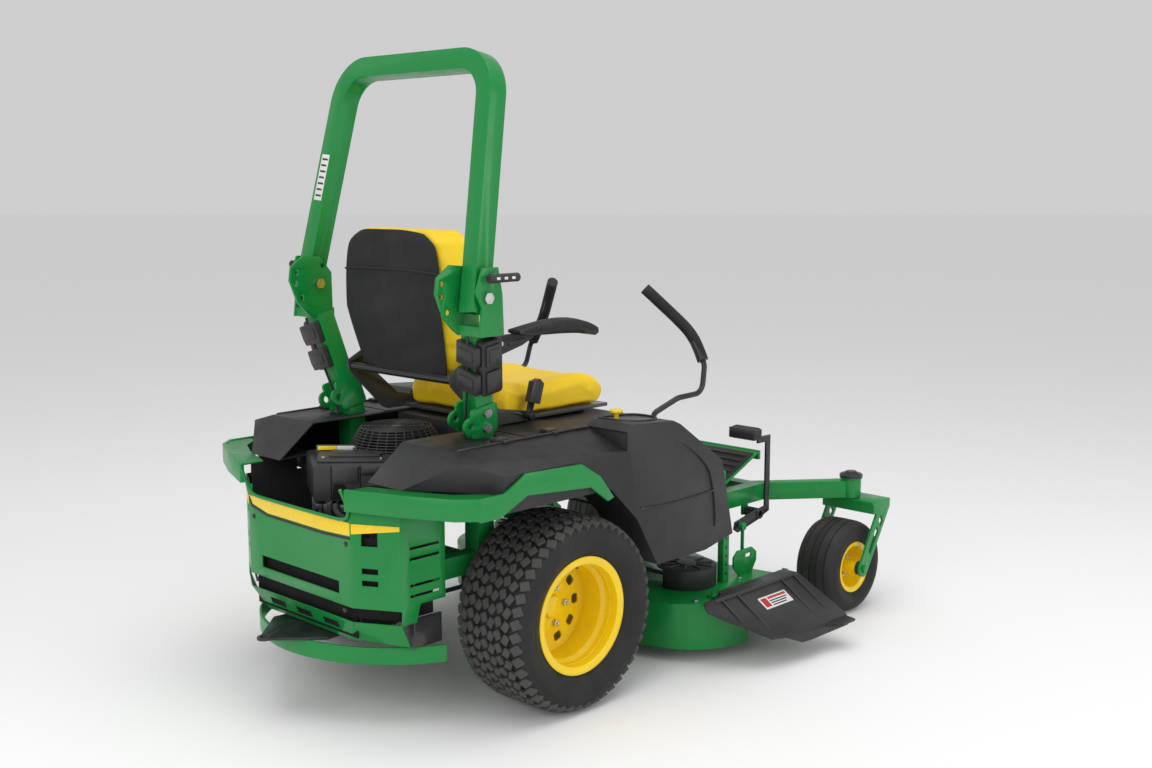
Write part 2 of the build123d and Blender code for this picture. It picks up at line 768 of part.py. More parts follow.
# ---------------------------------------------------------------- seat
def make_seat_frame():
    with BuildPart() as seat_frame:
        block((30, -seat_half_width, pan_bottom), (490, seat_half_width, pan_bottom + 11))
        for hand in (1, -1):
            start, depth = both_sides(238, 244, hand)
            with BuildSketch(start) as upright:
                with BuildLine() as upright_line:
                    Polyline((120, pan_bottom), (120, 830), (0, 850), (-130, 965), (-10, 1030), (-10, 1075),
                             (-50, 1075), (-60, 1040), (-195, 970), (-185, 935), (-60, 810),
                             (-40, pan_bottom),
                             close=True)
                make_face()
            extrude(amount=depth)
            side_block((30, 120), (225, 244), (pan_bottom, pan_bottom + 11), hand)
            cylinder_y(-30, *sorted((hand * 240, hand * 268)), 1052, 6)
        cylinder_y(-172, -240, 240, 952, 12)
        cylinder_y(110, -270, -240, 818, 5)
    return seat_frame


def make_seat_cushion():
    with BuildPart() as seat_cushion:
        with BuildSketch(side(seat_half_width)) as profile:
            with BuildLine() as cushion_line:
                Polyline((cushion_rear_x, 814), (cushion_front_x - 20, 814), (cushion_front_x, 840),
                         (cushion_front_x - 8, 885), (cushion_front_x - 60, 902), (200, 896),
                         (cushion_rear_x - 10, 915), close=True)
            make_face()
        extrude(amount=2 * seat_half_width)
        fillet(seat_cushion.edges().filter_by(Axis.Z, tolerance=30), radius=12)
    return seat_cushion


def make_seat_back():
    with BuildPart() as seat_back:
        with BuildSketch(side(seat_half_width)) as profile:
            with BuildLine() as back_line:
                Polyline((-150, 968), (-188, 985), (-205, 1330), (-190, 1385), (-150, 1402), (-80, 1395),
                         (-30, 1290), (50, 1160), (112, 1050), (90, 960), (40, 932), (-60, 930), close=True)
            make_face()
        extrude(amount=2 * seat_half_width)
    return seat_back


def make_armrest(hand):
    start, depth = both_sides(272, 284, hand)
    with BuildPart() as armrest:
        with BuildSketch(start) as arm:
            with BuildLine() as arm_line:
                Polyline((-55, 1075), (90, 1078), (110, 1062), (60, 1040), (-20, 1020), (-50, 1028),
                         close=True)
            make_face()
            with Locations((-30, 1052)):
                Circle(6 + running, mode=Mode.SUBTRACT)
        extrude(amount=depth)
        cylinder_y(-30, *sorted((hand * 246, hand * 273)), 1052, 14)
        cylinder_y(-30, *sorted((hand * 245, hand * 274)), 1052, 6 + running, Mode.SUBTRACT)
        start, depth = both_sides(254, 308, hand)
        with BuildSketch(start) as pad:
            with BuildLine() as pad_line:
                Spline((30, 1088), (150, 1104), (300, 1098), (365, 1072))
                Spline((365, 1072), (362, 1055), (290, 1072), (150, 1074), (90, 1070), (30, 1079))
                Line((30, 1079), (30, 1088))
            make_face()
        extrude(amount=depth)
    return armrest


def make_belt_buckle():
    with BuildPart() as belt_buckle:
        start, depth = both_sides(252, 258, -1)
        with BuildSketch(start) as stalk:
            with BuildLine() as stalk_line:
                Polyline((98, 808), (122, 808), (138, 862), (114, 868), close=True)
            make_face()
        extrude(amount=depth)
        start, depth = both_sides(247, 269, -1)
        with BuildSketch(start) as housing:
            with BuildLine() as housing_line:
                Polyline((104, 862), (148, 850), (166, 912), (150, 928), (122, 922), close=True)
            make_face()
        extrude(amount=depth)
        cylinder_y(110, -275, -245.5, 818, 12)
        cylinder_y(110, -271, -245, 818, 5 + running, Mode.SUBTRACT)
    return belt_buckle


# ---------------------------------------------------------------- roll bar
def post_plane(share, out, hand):
    """A plane on the leaning part of a post, a share of the way up, facing outwards at a distance."""
    foot = Vector(*handed(roll_foot, hand))
    pivot = Vector(*handed(roll_pivot, hand))
    up = (pivot - foot).normalized()
    forward = (Vector(1, 0, 0) - up * up.X).normalized()
    outward = forward.cross(up) if hand < 0 else up.cross(forward)
    return Plane(origin=along(foot, pivot, share) + outward * out, x_dir=forward, z_dir=outward)


def make_rops_posts():
    """Two square posts from the frame, leaning out and back to a pair of hinge plates each."""
    post_top = along(roll_foot, roll_pivot, 0.76)
    with BuildPart() as rops_posts:
        for hand in (1, -1):
            foot = (roll_foot.X, roll_foot.Y, rail_top)
            square_tube([handed(foot, hand), handed(roll_foot, hand), handed(post_top, hand)], 60,
                        roll_tube, 5)
            block_y = (roll_pivot.Y - hinge_gap / 2 - hinge_plate,
                       roll_pivot.Y + hinge_gap / 2 + hinge_plate)
            side_block((-245, -165), block_y, (1100, 1128), hand)
            for low in (block_y[0], block_y[1] - hinge_plate):
                rear_ear = low == block_y[0]
                start, depth = both_sides(low, low + hinge_plate, hand)
                with BuildSketch(start) as plate:
                    with BuildLine() as plate_line:
                        if rear_ear:
                            Polyline((-170, 1100), (-172, 1240), (-215, 1290), (-275, 1296), (-322, 1262),
                                     (-328, 1220), (-300, 1150), (-262, 1112), (-245, 1100), close=True)
                        else:
                            Polyline((-160, 1100), (-165, 1215), (-180, 1290), (-235, 1290), (-262, 1225),
                                     (-240, 1180), (-250, 1100), close=True)
                    make_face()
                    with Locations((roll_pivot.X, roll_pivot.Z)):
                        Circle(10.1, mode=Mode.SUBTRACT)
                    with Locations((-205, 1262)):
                        Circle(8 + running, mode=Mode.SUBTRACT)
                    if rear_ear:
                        with Locations((-303, 1245), (-306, 1210), (-284, 1165)):
                            Circle(9, mode=Mode.SUBTRACT)
                extrude(amount=depth)
            # bolted bracket at the foot of the leaning part, with an ear to the rear
            for out in (-38, 29):
                face = post_plane(0.14, out, hand)
                flip = 1 if face.y_dir.Z > 0 else -1
                with BuildSketch(face) as bracket:
                    with Locations((-8, 0)):
                        RectangleRounded(96, 92, 12)
                    with Locations((-58, flip * -2)):
                        Circle(26)
                        Circle(11, mode=Mode.SUBTRACT)
                extrude(amount=9)
    return rops_posts


def make_rops_hoop():
    start = along(roll_pivot, roll_corner, -0.068)
    points = [handed(start, -1), handed(roll_corner, -1), handed(roll_corner, 1), handed(start, 1)]
    with BuildPart() as rops_hoop:
        square_tube(points, roll_bend_radius, roll_tube, 5)
        for hand in (1, -1):
            low, high = sorted((hand * 350, hand * 434))
            cylinder_y(roll_pivot.X, low, high, roll_pivot.Z, 10 + running, Mode.SUBTRACT)
    return rops_hoop


def make_rops_pin(hand):
    outer_face = roll_pivot.Y + hinge_gap / 2 + hinge_plate
    with BuildPart() as rops_pin:
        cylinder_y(-205, *sorted((hand * (outer_face - 6.5), hand * (outer_face + 22))), 1262, 8)
        cylinder_y(-205, *sorted((hand * (outer_face + 2), hand * (outer_face + 14))), 1262, 13)
        with BuildSketch(Plane.YZ.offset(-235)) as handle:
            with Locations((hand * (outer_face + 24), 1262)):
                Circle(11)
        extrude(amount=105)
    return rops_pin


def make_frame_bolts():
    """Hinge bolts of the roll bar and the bolts of its lower brackets, with their nuts."""
    inner = roll_pivot.Y - hinge_gap / 2 - hinge_plate
    outer = roll_pivot.Y + hinge_gap / 2 + hinge_plate
    with BuildPart() as frame_bolts:
        for hand in (1, -1):
            cylinder_y(roll_pivot.X, *sorted((hand * (inner - 1), hand * (outer + 1))), roll_pivot.Z, 10)
            for near, far in ((inner - 12, inner), (outer, outer + 10)):
                start, depth = both_sides(near, far, hand)
                with BuildSketch(start) as hinge_head:
                    with Locations((roll_pivot.X, roll_pivot.Z)):
                        RegularPolygon(17, 6)
                extrude(amount=depth)
            with BuildSketch(post_plane(0.14, 38.2, hand)) as bracket_head:
                with Locations((0, -24), (0, 24)):
                    RegularPolygon(14, 6)
            extrude(amount=10)
    return frame_bolts


def make_lamps():
    """A work lamp on the outer face of each post, with a clamp half on the rear."""
    with BuildPart() as lamps:
        for hand in (1, -1):
            with BuildSketch(post_plane(0.54, roll_tube / 2 + 2, hand)) as housing:
                with Locations((6, 0)):
                    RectangleRounded(74, 165, 12)
            extrude(amount=30)
    return lamps


def make_lamp_cables():
    """A cable down the rear of each post, from the hinge to the side cover."""
    with BuildPart() as lamp_cables:
        for hand in (1, -1):
            points = [(-243, 384, 1098), (-238, 374, 1050), (-226, 360, 1000), (-210, 340, 940),
                      (-199, 324, 890), (-192, 310, 845), (-188, 302, 798)]
            route = [handed(point, hand) for point in points]
            radii = bend_radii(route)
            round_bar(route, radii, 4)
    return lamp_cables


def bend_radii(points):
    """The largest arc that each corner's two runs allow."""
    radii = []
    for before, corner, after in zip(points, points[1:], points[2:]):
        run_in = Vector(*corner) - Vector(*before)
        run_out = Vector(*after) - Vector(*corner)
        turn = radians(run_in.get_angle(run_out))
        radii.append(0.45 * min(run_in.length, run_out.length) / tan(turn / 2))
    print("cable radii", [round(radius) for radius in radii])
    return radii


# ---------------------------------------------------------------- controls
def make_lap_pivot(hand):
    """The bracket that swings fore and aft on the frame and carries the lap bar's fold-out pin."""
    with BuildPart() as lap_pivot:
        cylinder_y(515, *sorted((hand * 361, hand * 412)), 650, 16)
        side_block((499, 531), (383, 393), (655, 706), hand)
        for x in (497, 528):
            side_block((x, x + 5), (376, 400), (698, 733), hand)
        cylinder_y(515, *sorted((hand * 360, hand * 413)), 650, 8 + running, Mode.SUBTRACT)
        with BuildSketch(Plane.YZ.offset(497)) as fold_pin:
            with Locations((hand * 388, 726)):
                Circle(5)
        extrude(amount=36)
    return lap_pivot


def make_lap_bar(hand):
    """A bent steel bar with a thick grip, folded outwards about a pin along X at its foot."""
    route = [(515, 388, 734), (540, 392, 790), (622, 420, 832), (745, 420, 836), (766, 412, 925),
             (770, 350, 1025),
             (690, 220, 1166)]
    points = [handed(point, hand) for point in route]
    grip_start = along(Vector(*points[4]), Vector(*points[5]), 0.12)
    with BuildPart() as lap_bar:
        side_block((503, 527), (378, 398), (716, 738), hand)
        round_bar(points, [30, 45, 45, 50, 50], 9)
        round_bar([tuple(grip_start), points[5], points[6]], 50, 17)
        with BuildSketch(Plane.YZ.offset(502)) as pin_bore:
            with Locations((hand * 388, 726)):
                Circle(5 + running)
        extrude(amount=26, mode=Mode.SUBTRACT)
    return lap_bar


def make_lift_pedal():
    """Foot pedal, pivot hub and lift arm in one weldment: pushing the pad forward raises the arm's end."""
    with BuildPart() as lift_pedal:
        cylinder_y(1045, -446, -387, 378, 18)
        with BuildSketch(side(-434)) as arms:
            with BuildLine() as arm_line:
                Polyline((1040, 396), (912, 370), (905, 345), (925, 332), (1050, 360), close=True)
            make_face()
            with BuildLine() as bar_line:
                Polyline((1035, 392), (1045, 362), (1102, 380), (1102, 640), (1078, 640), (1078, 400),
                         close=True)
            make_face()
        extrude(amount=7)
        block((1030, -441, 628), (1102, -434, 650))
        block((1010, -441, 640), (1050, -330, 676))
        cylinder_y(1045, -447, -380, 378, 10 + running, Mode.SUBTRACT)
    return lift_pedal


def make_pto_knob():
    with BuildPart() as pto_knob:
        cylinder_z(262, -480, 772, 835, 7)
        cylinder_z(262, -480, 835, 845, 20)
    return pto_knob


def make_height_knob():
    with BuildPart() as height_knob:
        cylinder_z(785, -345, 541, 552, 10)
        cylinder_z(785, -345, 552, 586, 16)
        chamfer(height_knob.faces().sort_by(Axis.Z)[-1].edges(), length=3)
    return height_knob


# ---------------------------------------------------------------- deck
def deck_outline(inset):
    """The deck in plan: the hull of the three blade circles and the discharge side, drawn in by inset."""
    edge = hinge_y + 8 + inset
    with BuildSketch() as outline:
        with Locations((side_spindle.X, side_spindle.Y), (side_spindle.X, -side_spindle.Y),
                       (centre_spindle_x, 0)):
            Circle(deck_radius - inset)
        make_hull()
        with BuildLine() as discharge_line:
            Polyline((700, -300), (700, edge), (1010 - inset, edge), (960 - inset, -300), close=True)
        make_face()
    return outline.sketch


def make_deck_shell():
    spindles = [(side_spindle.X, side_spindle.Y), (centre_spindle_x, 0), (side_spindle.X, -side_spindle.Y)]
    with BuildPart() as deck_shell:
        with BuildSketch(Plane.XY.offset(deck_bottom)) as outside:
            add(deck_outline(0))
        extrude(amount=deck_top - deck_bottom)
        with BuildSketch(Plane.XY.offset(deck_bottom - 1)) as inside:
            add(deck_outline(deck_skin))
        extrude(amount=deck_top - deck_bottom - deck_skin + 1, mode=Mode.SUBTRACT)
        # the discharge mouth is open from the front of the right-hand circle to the front wall
        mouth_low = (discharge_rear_x, hinge_y - 65, deck_bottom - 1)
        block(mouth_low, (985, hinge_y + 30, deck_top - deck_skin), Mode.SUBTRACT)
        for x, y in spindles:
            cylinder_z(x, y, 165, 214, 42)
        for x, y in spindles:
            cylinder_z(x, y, 160, 220, spindle_radius + running, Mode.SUBTRACT)
        for x in (622, 1008):
            block((x, hinge_y + 4, deck_top - 8), (x + 8, hinge_y + 30, deck_top + 8))
            block((x, hinge_y - 8, deck_top + 1), (x + 8, hinge_y + 12, hinge_z + 9))
        with BuildSketch(Plane.YZ.offset(612)) as hinge_rod:
            with Locations((hinge_y, hinge_z)):
                Circle(5)
        extrude(amount=408)
    return deck_shell


def make_chute():
    """A moulded deflector that hangs from the hinge rod and slopes down and out."""
    with BuildPart() as chute:
        with BuildSketch(Plane.YZ.offset(480)) as slope:
            with BuildLine() as slope_line:
                Polyline((hinge_y - 4, 210), (hinge_y - 50, 203), (-800, 96), (-812, 66), (-818, 66),
                         (-812, 100),
                         (hinge_y - 48, 211), (hinge_y - 2, 216), close=True)
            make_face()
        extrude(amount=580)
        with BuildSketch(Plane.XY) as plan:
            with BuildLine() as plan_line:
                Polyline((634, hinge_y + 12), (996, hinge_y + 12), (1015, -620), (1040, -800), (1030, -845),
                         (985, -845), (650, -790), (540, -690), (500, -650), (520, -618), (600, -612),
                         (634, -600),
                         close=True)
            make_face()
        extrude(amount=400, mode=Mode.INTERSECT)
        # the front lip runs further out
        with BuildSketch(Plane.XY.offset(88)) as lip:
            with BuildLine() as lip_line:
                Polyline((900, -806), (1040, -800), (1030, right_end), (960, right_end), close=True)
            make_face()
        extrude(amount=8)
        with BuildSketch(Plane.YZ.offset(632)) as barrel:
            with Locations((hinge_y, hinge_z)):
                Circle(10)
        extrude(amount=366)
        with BuildSketch(Plane.YZ.offset(600)) as bore:
            with Locations((hinge_y, hinge_z)):
                Circle(5 + running)
        extrude(amount=450, mode=Mode.SUBTRACT)
    return chute


def make_belt_covers():
    with BuildPart() as belt_covers:
        for hand in (1, -1):
            x, y = side_spindle.X, hand * side_spindle.Y
            cylinder_z(x, y, deck_top, 262, 100)
            cylinder_z(x, y, deck_top - 1, 257, 95, Mode.SUBTRACT)
            side_block((500, 900), (200, 378), (deck_top - 1, 255), hand, Mode.SUBTRACT)
    return belt_covers


def belt_ring(centres, radius, z_low, z_high):
    """A belt as the hull round a set of pulleys (used inside a BuildPart)."""
    with BuildSketch(Plane.XY.offset(z_low)) as outer:
        with Locations(*centres):
            Circle(radius + belt_gap + belt_thickness)
        make_hull()
    extrude(outer.sketch, amount=z_high - z_low)
    with BuildSketch(Plane.XY.offset(z_low)) as inner:
        with Locations(*centres):
            Circle(radius + belt_gap)
        make_hull()
    extrude(inner.sketch, amount=z_high - z_low, mode=Mode.SUBTRACT)


def make_deck_belt():
    """The drive belt from the clutch to the centre spindle, and the belt round the three spindles."""
    with BuildPart() as drive_belt:
        belt_ring([(crank_x, 0), (centre_spindle_x, 0)], 70, 262, 274)
    with BuildPart() as blade_belt:
        belt_ring([(side_spindle.X, side_spindle.Y), (centre_spindle_x, 0),
                   (side_spindle.X, -side_spindle.Y)],
                  pulley_radius, 228, 240)
    with BuildPart() as deck_belt:
        add(drive_belt.part)
        add(blade_belt.part)
    return deck_belt


def make_spindle(x, y, double):
    with BuildPart() as spindle:
        cylinder_z(x, y, 62, 280 if double else 250, spindle_radius)
        cylinder_z(x, y, 224, 244, pulley_radius)
        cylinder_z(x, y, 62, 70, 24)
        if double:
            cylinder_z(x, y, 258, 278, 70)
    return spindle


def make_blade(x, y):
    """A flat bar blade with raised rear wings, clamped between the spindle's flange and its bolt."""
    with BuildPart() as blade:
        with BuildSketch(Plane.XY.offset(72)) as bar:
            with Locations((x, y)):
                Rectangle(2 * blade_radius - 8, 58, rotation=25)
        extrude(amount=6)
        with BuildSketch(Plane.XY.offset(78)) as wings:
            with Locations(Location((x, y, 0), (0, 0, 25))):
                with Locations((150, 24), (-150, -24)):
                    Rectangle(80, 8)
        extrude(amount=14)
        cylinder_z(x, y, 70, 95, spindle_radius, Mode.SUBTRACT)
    return blade


def make_deck_hangers():
    """Hanger plates, eye bolts and perforated posts that stand on the deck, each a solid of its own."""
    with BuildPart() as hanger_plates:
        for hand in (1, -1):
            start, depth = both_sides(470, 476, hand)
            with BuildSketch(start) as plate:
                with BuildLine() as plate_line:
                    Polyline((890, deck_top), (960, deck_top), (985, 232), (985, 262), (960, 282),
                             (880, 282),
                             (858, 262), (858, 228), close=True)
                make_face()
                with Locations((940, 258)):
                    SlotOverall(34, 14, mode=Mode.SUBTRACT)
            extrude(amount=depth)
    with BuildPart() as eye_bolts:
        for hand in (1, -1):
            cylinder_z(925, hand * 460, 234, 366, 6)
            cylinder_y(925, *sorted((hand * 452, hand * 468)), 358, 13)
    with BuildPart() as posts:
        for hand in (1, -1):
            with BuildSketch(Plane.XY.offset(deck_top)) as channel:
                with Locations((795, hand * 480)):
                    Rectangle(30, 24)
                    with Locations((0, -hand * 4)):
                        Rectangle(24, 24, mode=Mode.SUBTRACT)
            extrude(amount=163)
            for step in range(5):
                cylinder_y(795, *sorted((hand * 473, hand * 498)), 225 + 30 * step, 4.5, Mode.SUBTRACT)
    with BuildPart() as deck_hangers:
        add(hanger_plates.part)
        add(eye_bolts.part)
        add(posts.part)
    return deck_hangers


# ---------------------------------------------------------------- make and write every piece
save(make_main_frame(), "main_frame")
save(make_front_frame(), "front_frame")
save(make_hitch_brackets(), "hitch_brackets")
save(make_bumper(), "bumper")
save(make_transaxles(), "transaxles")
save(make_engine_block(), "engine_block")
save(make_engine_cowls(), "engine_cowls")
save(make_fan_guard(), "fan_guard")
save(make_muffler(), "muffler")
save(make_crankshaft(), "crankshaft")
save(make_fuel_tank(), "fuel_tank")
save(make_fuel_cap(), "fuel_cap")
save(make_battery(), "battery")
save(make_side_covers(), "side_covers")
save(make_fenders(), "fenders")
save(make_rear_guard(), "rear_guard")
save(make_floor_pan(), "floor_pan")
save(make_floor_mat(), "floor_mat")
save(make_seat_base(), "seat_base")
save(make_seat_frame(), "seat_frame")
save(make_seat_cushion(), "seat_cushion")
save(make_seat_back(), "seat_back")
save(make_belt_buckle(), "belt_buckle")
save(make_rops_posts(), "rops_posts")
save(make_rops_hoop(), "rops_hoop")
save(make_frame_bolts(), "frame_bolts")
save(make_lamps(), "lamps")
save(make_lamp_cables(), "lamp_cables")
save(make_lift_pedal(), "lift_pedal")
save(make_pto_knob(), "pto_knob")
save(make_height_knob(), "height_knob")
save(make_deck_shell(), "deck_shell")
save(make_chute(), "chute")
save(make_belt_covers(), "belt_covers")
save(make_deck_belt(), "deck_belt")
save(make_deck_hangers(), "deck_hangers")

for side_name, hand in (("left", 1), ("right", -1)):
    save(make_rear_tyre(hand), f"rear_tyre_{side_name}")
    save(make_rear_rim(hand), f"rear_rim_{side_name}")
    save(make_caster_tyre(hand), f"caster_tyre_{side_name}")
    save(make_caster_rim(hand), f"caster_rim_{side_name}")
    save(make_caster_fork(hand), f"caster_fork_{side_name}")
    save(make_armrest(hand), f"armrest_{side_name}")
    save(make_rops_pin(hand), f"rops_pin_{side_name}")
    save(make_lap_pivot(hand), f"lap_pivot_{side_name}")
    save(make_lap_bar(hand), f"lap_bar_{side_name}")

for place, spindle_x, spindle_y in (("left", side_spindle.X, side_spindle.Y),
                                    ("centre", centre_spindle_x, 0),
                                    ("right", side_spindle.X, -side_spindle.Y)):
    save(make_spindle(spindle_x, spindle_y, place == "centre"), f"spindle_{place}")
    save(make_blade(spindle_x, spindle_y), f"blade_{place}")
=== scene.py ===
"""Zero turn mower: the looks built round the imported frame, in metres."""
import json
from math import atan2, cos, pi, radians, sin

import bpy
from mathutils import Matrix, Vector


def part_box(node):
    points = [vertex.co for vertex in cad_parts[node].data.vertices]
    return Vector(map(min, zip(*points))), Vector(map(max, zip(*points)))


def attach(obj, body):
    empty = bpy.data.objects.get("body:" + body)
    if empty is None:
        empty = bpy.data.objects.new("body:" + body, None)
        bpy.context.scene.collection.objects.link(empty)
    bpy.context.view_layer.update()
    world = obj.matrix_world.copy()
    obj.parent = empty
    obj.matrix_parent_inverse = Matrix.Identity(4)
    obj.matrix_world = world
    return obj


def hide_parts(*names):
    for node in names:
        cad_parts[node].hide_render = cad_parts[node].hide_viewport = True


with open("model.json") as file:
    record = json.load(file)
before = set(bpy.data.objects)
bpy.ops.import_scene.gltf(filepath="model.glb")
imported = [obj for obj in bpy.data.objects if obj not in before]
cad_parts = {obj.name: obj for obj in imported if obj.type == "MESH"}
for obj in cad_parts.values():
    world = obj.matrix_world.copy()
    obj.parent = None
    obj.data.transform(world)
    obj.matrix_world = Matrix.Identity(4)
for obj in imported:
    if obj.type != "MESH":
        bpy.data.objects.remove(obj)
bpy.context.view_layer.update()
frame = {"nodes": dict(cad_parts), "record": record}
NODE_BODY = {}
for body_name, node_names in frame["record"]["behaviour"]["bodies"].items():
    for node_name in node_names:
        NODE_BODY[node_name] = body_name

# the ground under the middle of the rear axle is the point that the machine is measured from
right_tyre_low, right_tyre_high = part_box("rear_tyre_right")
left_tyre_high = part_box("rear_tyre_left")[1]
AXLE_X = (right_tyre_low[0] + right_tyre_high[0]) / 2
MIDDLE_Y = (right_tyre_low[1] + left_tyre_high[1]) / 2
MM = 0.001
SIDES = (("left", 1), ("right", -1))

CAMERA_PLACE = (-2732.8, -3213.1, 1527.7)
CAMERA_TILT = 81.5
CAMERA_TURN = -45.9
CAMERA_LENS = 42.72
WORLD_STRENGTH = 0.62
FLOOR_SIZE = 300

REAR_WHEEL_Y = 482.5
REAR_WHEEL_Z = 288
CASTER_X = 1345
CASTER_Y = 572
CASTER_Z = 164
POST_FOOT = Vector((-135, 303, 800))
ROLL_BAR_PIVOT = Vector((-221, 392, 1207))
ROLL_BAR_CORNER = Vector((-87, 330, 1863))
SEAM_MERGE = 0.00002


def at(x, y, z):
    """A place on the machine: millimetres forward, left and up from the ground under the rear axle."""
    return Vector((AXLE_X + x * MM, MIDDLE_Y + y * MM, z * MM))


def link(item):
    bpy.context.scene.collection.objects.link(item)


# ---- camera, floor, light
def place_camera():
    data = bpy.data.cameras.new("studio_camera")
    data.sensor_width = 36
    data.lens = CAMERA_LENS
    data.clip_end = 60
    camera = bpy.data.objects.new("studio_camera", data)
    camera.location = at(*CAMERA_PLACE)
    camera.rotation_euler = (radians(CAMERA_TILT), 0, radians(CAMERA_TURN))
    link(camera)
    bpy.context.scene.camera = camera


def area_light(name, place, aim, size, power):
    data = bpy.data.lights.new(name, "AREA")
    data.shape = "RECTANGLE"
    data.size = size[0]
    data.size_y = size[1]
    data.energy = power
    light = bpy.data.objects.new(name, data)
    light.location = place
    light.rotation_euler = (Vector(aim) - Vector(place)).to_track_quat("-Z", "Y").to_euler()
    link(light)


def light_the_studio():
    world = bpy.data.worlds.new("studio_world")
    world.use_nodes = True
    background = world.node_tree.nodes["Background"]
    background.inputs["Color"].default_value = (1.0, 1.0, 1.0, 1.0)
    background.inputs["Strength"].default_value = WORLD_STRENGTH
    bpy.context.scene.world = world
    area_light("overhead", place=(-0.6, -0.8, 5.0), aim=(0, 0, 0.5), size=(5.0, 4.0), power=95)
    area_light("rear_softbox", place=(-5.0, -1.5, 2.6), aim=(0, 0, 0.7), size=(3.0, 2.4), power=60)
    area_light("side_softbox", place=(1.5, -5.5, 2.2), aim=(0, 0, 0.6), size=(3.5, 2.2), power=60)
    bpy.context.scene.view_settings.view_transform = "Standard"


def lay_floor():
    clear_selection()
    bpy.ops.mesh.primitive_plane_add(size=FLOOR_SIZE, location=(0, 0, 0))
    floor = bpy.context.object
    floor.name = "studio_floor"
    floor.data.materials.append(plain_white())


# ---- shared shader groups
FLOAT = "NodeSocketFloat"
COLOR = "NodeSocketColor"


def group_with(name, inputs, outputs):
    """An empty node group with its sockets, and the nodes where they enter and leave."""
    tree = bpy.data.node_groups.new(name, "ShaderNodeTree")
    for socket, kind, value in inputs:
        entry_socket = tree.interface.new_socket(name=socket, in_out="INPUT", socket_type=kind)
        entry_socket.default_value = value
    for socket, kind in outputs:
        tree.interface.new_socket(name=socket, in_out="OUTPUT", socket_type=kind)
    entry = tree.nodes.new("NodeGroupInput")
    leave = tree.nodes.new("NodeGroupOutput")
    return tree, entry, leave


def feed(tree, socket, value):
    """Puts a number on a socket, or links another node's output to it."""
    if isinstance(value, (int, float)):
        socket.default_value = value
    else:
        tree.links.new(value, socket)


def math_node(tree, operation, first, second, clamp=False):
    node = tree.nodes.new("ShaderNodeMath")
    node.operation = operation
    node.use_clamp = clamp
    feed(tree, node.inputs[0], first)
    feed(tree, node.inputs[1], second)
    return node.outputs[0]


def span_node(tree, value, low, high, to_low, to_high):
    """A value's run from low to high, stretched to run from to_low to to_high."""
    node = tree.nodes.new("ShaderNodeMapRange")
    feed(tree, node.inputs["Value"], value)
    for socket, limit in (("From Min", low), ("From Max", high), ("To Min", to_low), ("To Max", to_high)):
        feed(tree, node.inputs[socket], limit)
    return node.outputs["Result"]


def object_place(tree):
    return tree.nodes.new("ShaderNodeTexCoord").outputs["Object"]


def noise_node(tree, scale, detail=3.0):
    noise = tree.nodes.new("ShaderNodeTexNoise")
    noise.inputs["Detail"].default_value = detail
    tree.links.new(object_place(tree), noise.inputs["Vector"])
    feed(tree, noise.inputs["Scale"], scale)
    return noise.outputs["Fac"]


def mixed(tree, factor, first, second, blend="MIX"):
    node = tree.nodes.new("ShaderNodeMix")
    node.data_type = "RGBA"
    node.blend_type = blend
    tree.links.new(factor, node.inputs["Factor"])
    tree.links.new(first, node.inputs["A"])
    if isinstance(second, tuple):
        node.inputs["B"].default_value = second
    else:
        tree.links.new(second, node.inputs["B"])
    return node.outputs["Result"]


def uneven_tone_group():
    """A colour that drifts a little over the surface, lighter on its sharp edges, with dust on the level
    places.
    """
    tree, entry, leave = group_with(
        "uneven_tone",
        [("Color", COLOR, (1, 1, 1, 1)), ("Dust Color", COLOR, (0.19, 0.18, 0.16, 1)), ("Scale", FLOAT, 6.0),
         ("Spread", FLOAT, 0.08), ("Dust", FLOAT, 0.1), ("Edge", FLOAT, 0.2)],
        [("Color", COLOR), ("Mask", FLOAT)])
    given = entry.outputs
    drift = noise_node(tree, given["Scale"])
    low = math_node(tree, "SUBTRACT", 1.0, given["Spread"])
    high = math_node(tree, "ADD", 1.0, given["Spread"])
    shade = tree.nodes.new("ShaderNodeHueSaturation")
    tree.links.new(given["Color"], shade.inputs["Color"])
    tree.links.new(span_node(tree, drift, 0.3, 0.7, low, high), shade.inputs["Value"])
    geometry = tree.nodes.new("ShaderNodeNewGeometry")
    edge = span_node(tree, geometry.outputs["Pointiness"], 0.52, 0.62, 0.0, 1.0)
    edge = math_node(tree, "MULTIPLY", edge, given["Edge"], clamp=True)
    bright = mixed(tree, edge, shade.outputs["Color"], (0.10, 0.10, 0.095, 1), "SCREEN")
    facing = tree.nodes.new("ShaderNodeSeparateXYZ")
    tree.links.new(geometry.outputs["Normal"], facing.inputs["Vector"])
    level = span_node(tree, facing.outputs["Z"], 0.2, 1.0, 0.15, 1.0)
    patches = span_node(tree, noise_node(tree, 23.0, 6.0), 0.42, 0.68, 0.0, 1.0)
    dust = math_node(tree, "MULTIPLY", level, patches)
    dust = math_node(tree, "MULTIPLY", dust, given["Dust"], clamp=True)
    tree.links.new(mixed(tree, dust, bright, given["Dust Color"]), leave.inputs["Color"])
    tree.links.new(dust, leave.inputs["Mask"])
    return tree


